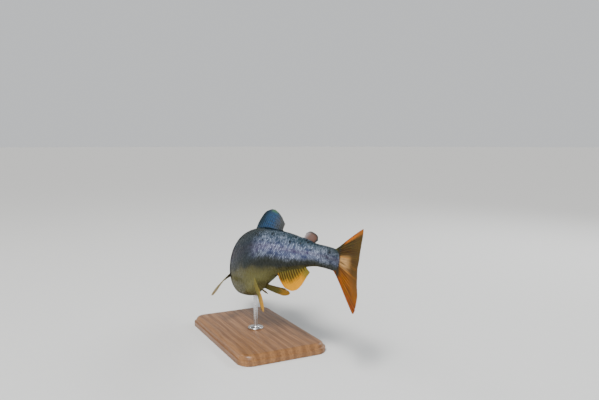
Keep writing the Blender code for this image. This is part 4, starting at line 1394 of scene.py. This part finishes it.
def makeCamera():
    azimuth, elevation = math.radians(viewSetup["azimuth"]), math.radians(viewSetup["elevation"])
    turn = Matrix.Rotation(azimuth, 3, "Z") @ Matrix.Rotation(math.pi / 2 - elevation, 3, "X")
    distance = viewSetup["distance"] * fishShape["length"]
    offset = Vector((viewSetup["aimRight"], -viewSetup["aimDown"], -1.0)) * distance
    camera = bpy.data.cameras.new("camera")
    camera.lens = viewSetup["lens"]
    camera.sensor_width = 36.0
    camera.clip_start, camera.clip_end = 0.01, 100.0
    holder = bpy.data.objects.new("camera", camera)
    holder.rotation_euler = turn.to_euler()
    holder.location = Vector(placePoints(1.0, 0.0, 0.0)) - turn @ offset
    bpy.context.scene.collection.objects.link(holder)
    bpy.context.scene.camera = holder


studio = {
    "floorRadius": 30.0,
    "floorColour": (0.70, 0.70, 0.69),
    "horizon": (0.70, 0.715, 0.73),
    "zenith": (0.16, 0.17, 0.18),
    "sun": ((0.55, -0.55, 0.9), 3.6, 16.0, (1.0, 0.98, 0.95)),  # where it stands, power, softness, colour
    # name: where it stands, where it points, its size, its power and its colour
    "lamps": {
        "key": ((-0.8, -1.2, 1.5), (0.0, 0.0, 0.12), (0.9, 0.5), 7.0, (1.0, 0.98, 0.95)),
        "side": ((1.3, -0.7, 1.1), (0.1, 0.0, 0.12), (0.5, 1.0), 20.0, (0.92, 0.96, 1.0)),
        "rim": ((-0.2, 1.5, 1.1), (0.0, 0.0, 0.14), (1.2, 0.4), 14.0, (0.95, 0.98, 1.0)),
    },
}


def addLight(name, kind, place, target, power, colour, **settings):
    light = bpy.data.lights.new(name, kind)
    light.energy, light.color = power, colour
    for key, value in settings.items():
        setattr(light, key, value)
    holder = bpy.data.objects.new(name, light)
    holder.location = place
    holder.rotation_euler = (Vector(place) - Vector(target)).to_track_quat("Z", "Y").to_euler()
    bpy.context.scene.collection.objects.link(holder)


def makeStudio():
    material, desk, shader = newMaterial("studio floor", Roughness=0.85)
    grain = desk.noise(desk.add("ShaderNodeTexCoord").outputs["Object"], 60.0, 3.0)
    light = studio["floorColour"]
    dark = tuple(value * 0.97 for value in light)
    desk.join(desk.mix(grain, dark, light), shader["Base Color"])
    bpy.ops.mesh.primitive_circle_add(vertices=96, radius=studio["floorRadius"], fill_type="NGON")
    floor = bpy.context.active_object
    floor.name = "studioFloor"
    floor.data.materials.append(material)
    # the sky is pale round the horizon and darker overhead
    world = bpy.data.worlds.new("studio")
    world.use_nodes = True
    desk = nodeDesk(world.node_tree)
    high = desk.split(desk.add("ShaderNodeTexCoord").outputs["Generated"])["Z"]
    sky = desk.mix(desk.ramp(high, 0.20, 0.75), studio["horizon"], studio["zenith"])
    desk.join(sky, world.node_tree.nodes["Background"].inputs["Color"])
    bpy.context.scene.world = world
    place, power, softness, colour = studio["sun"]
    addLight("sun", "SUN", place, (0, 0, 0), power, colour, angle=math.radians(softness))
    for name, (place, target, size, power, colour) in studio["lamps"].items():
        addLight(name, "AREA", place, target, power, colour, shape="RECTANGLE", size=size[0], size_y=size[1])


makeCamera()
makeStudio()
print("camera and studio set")
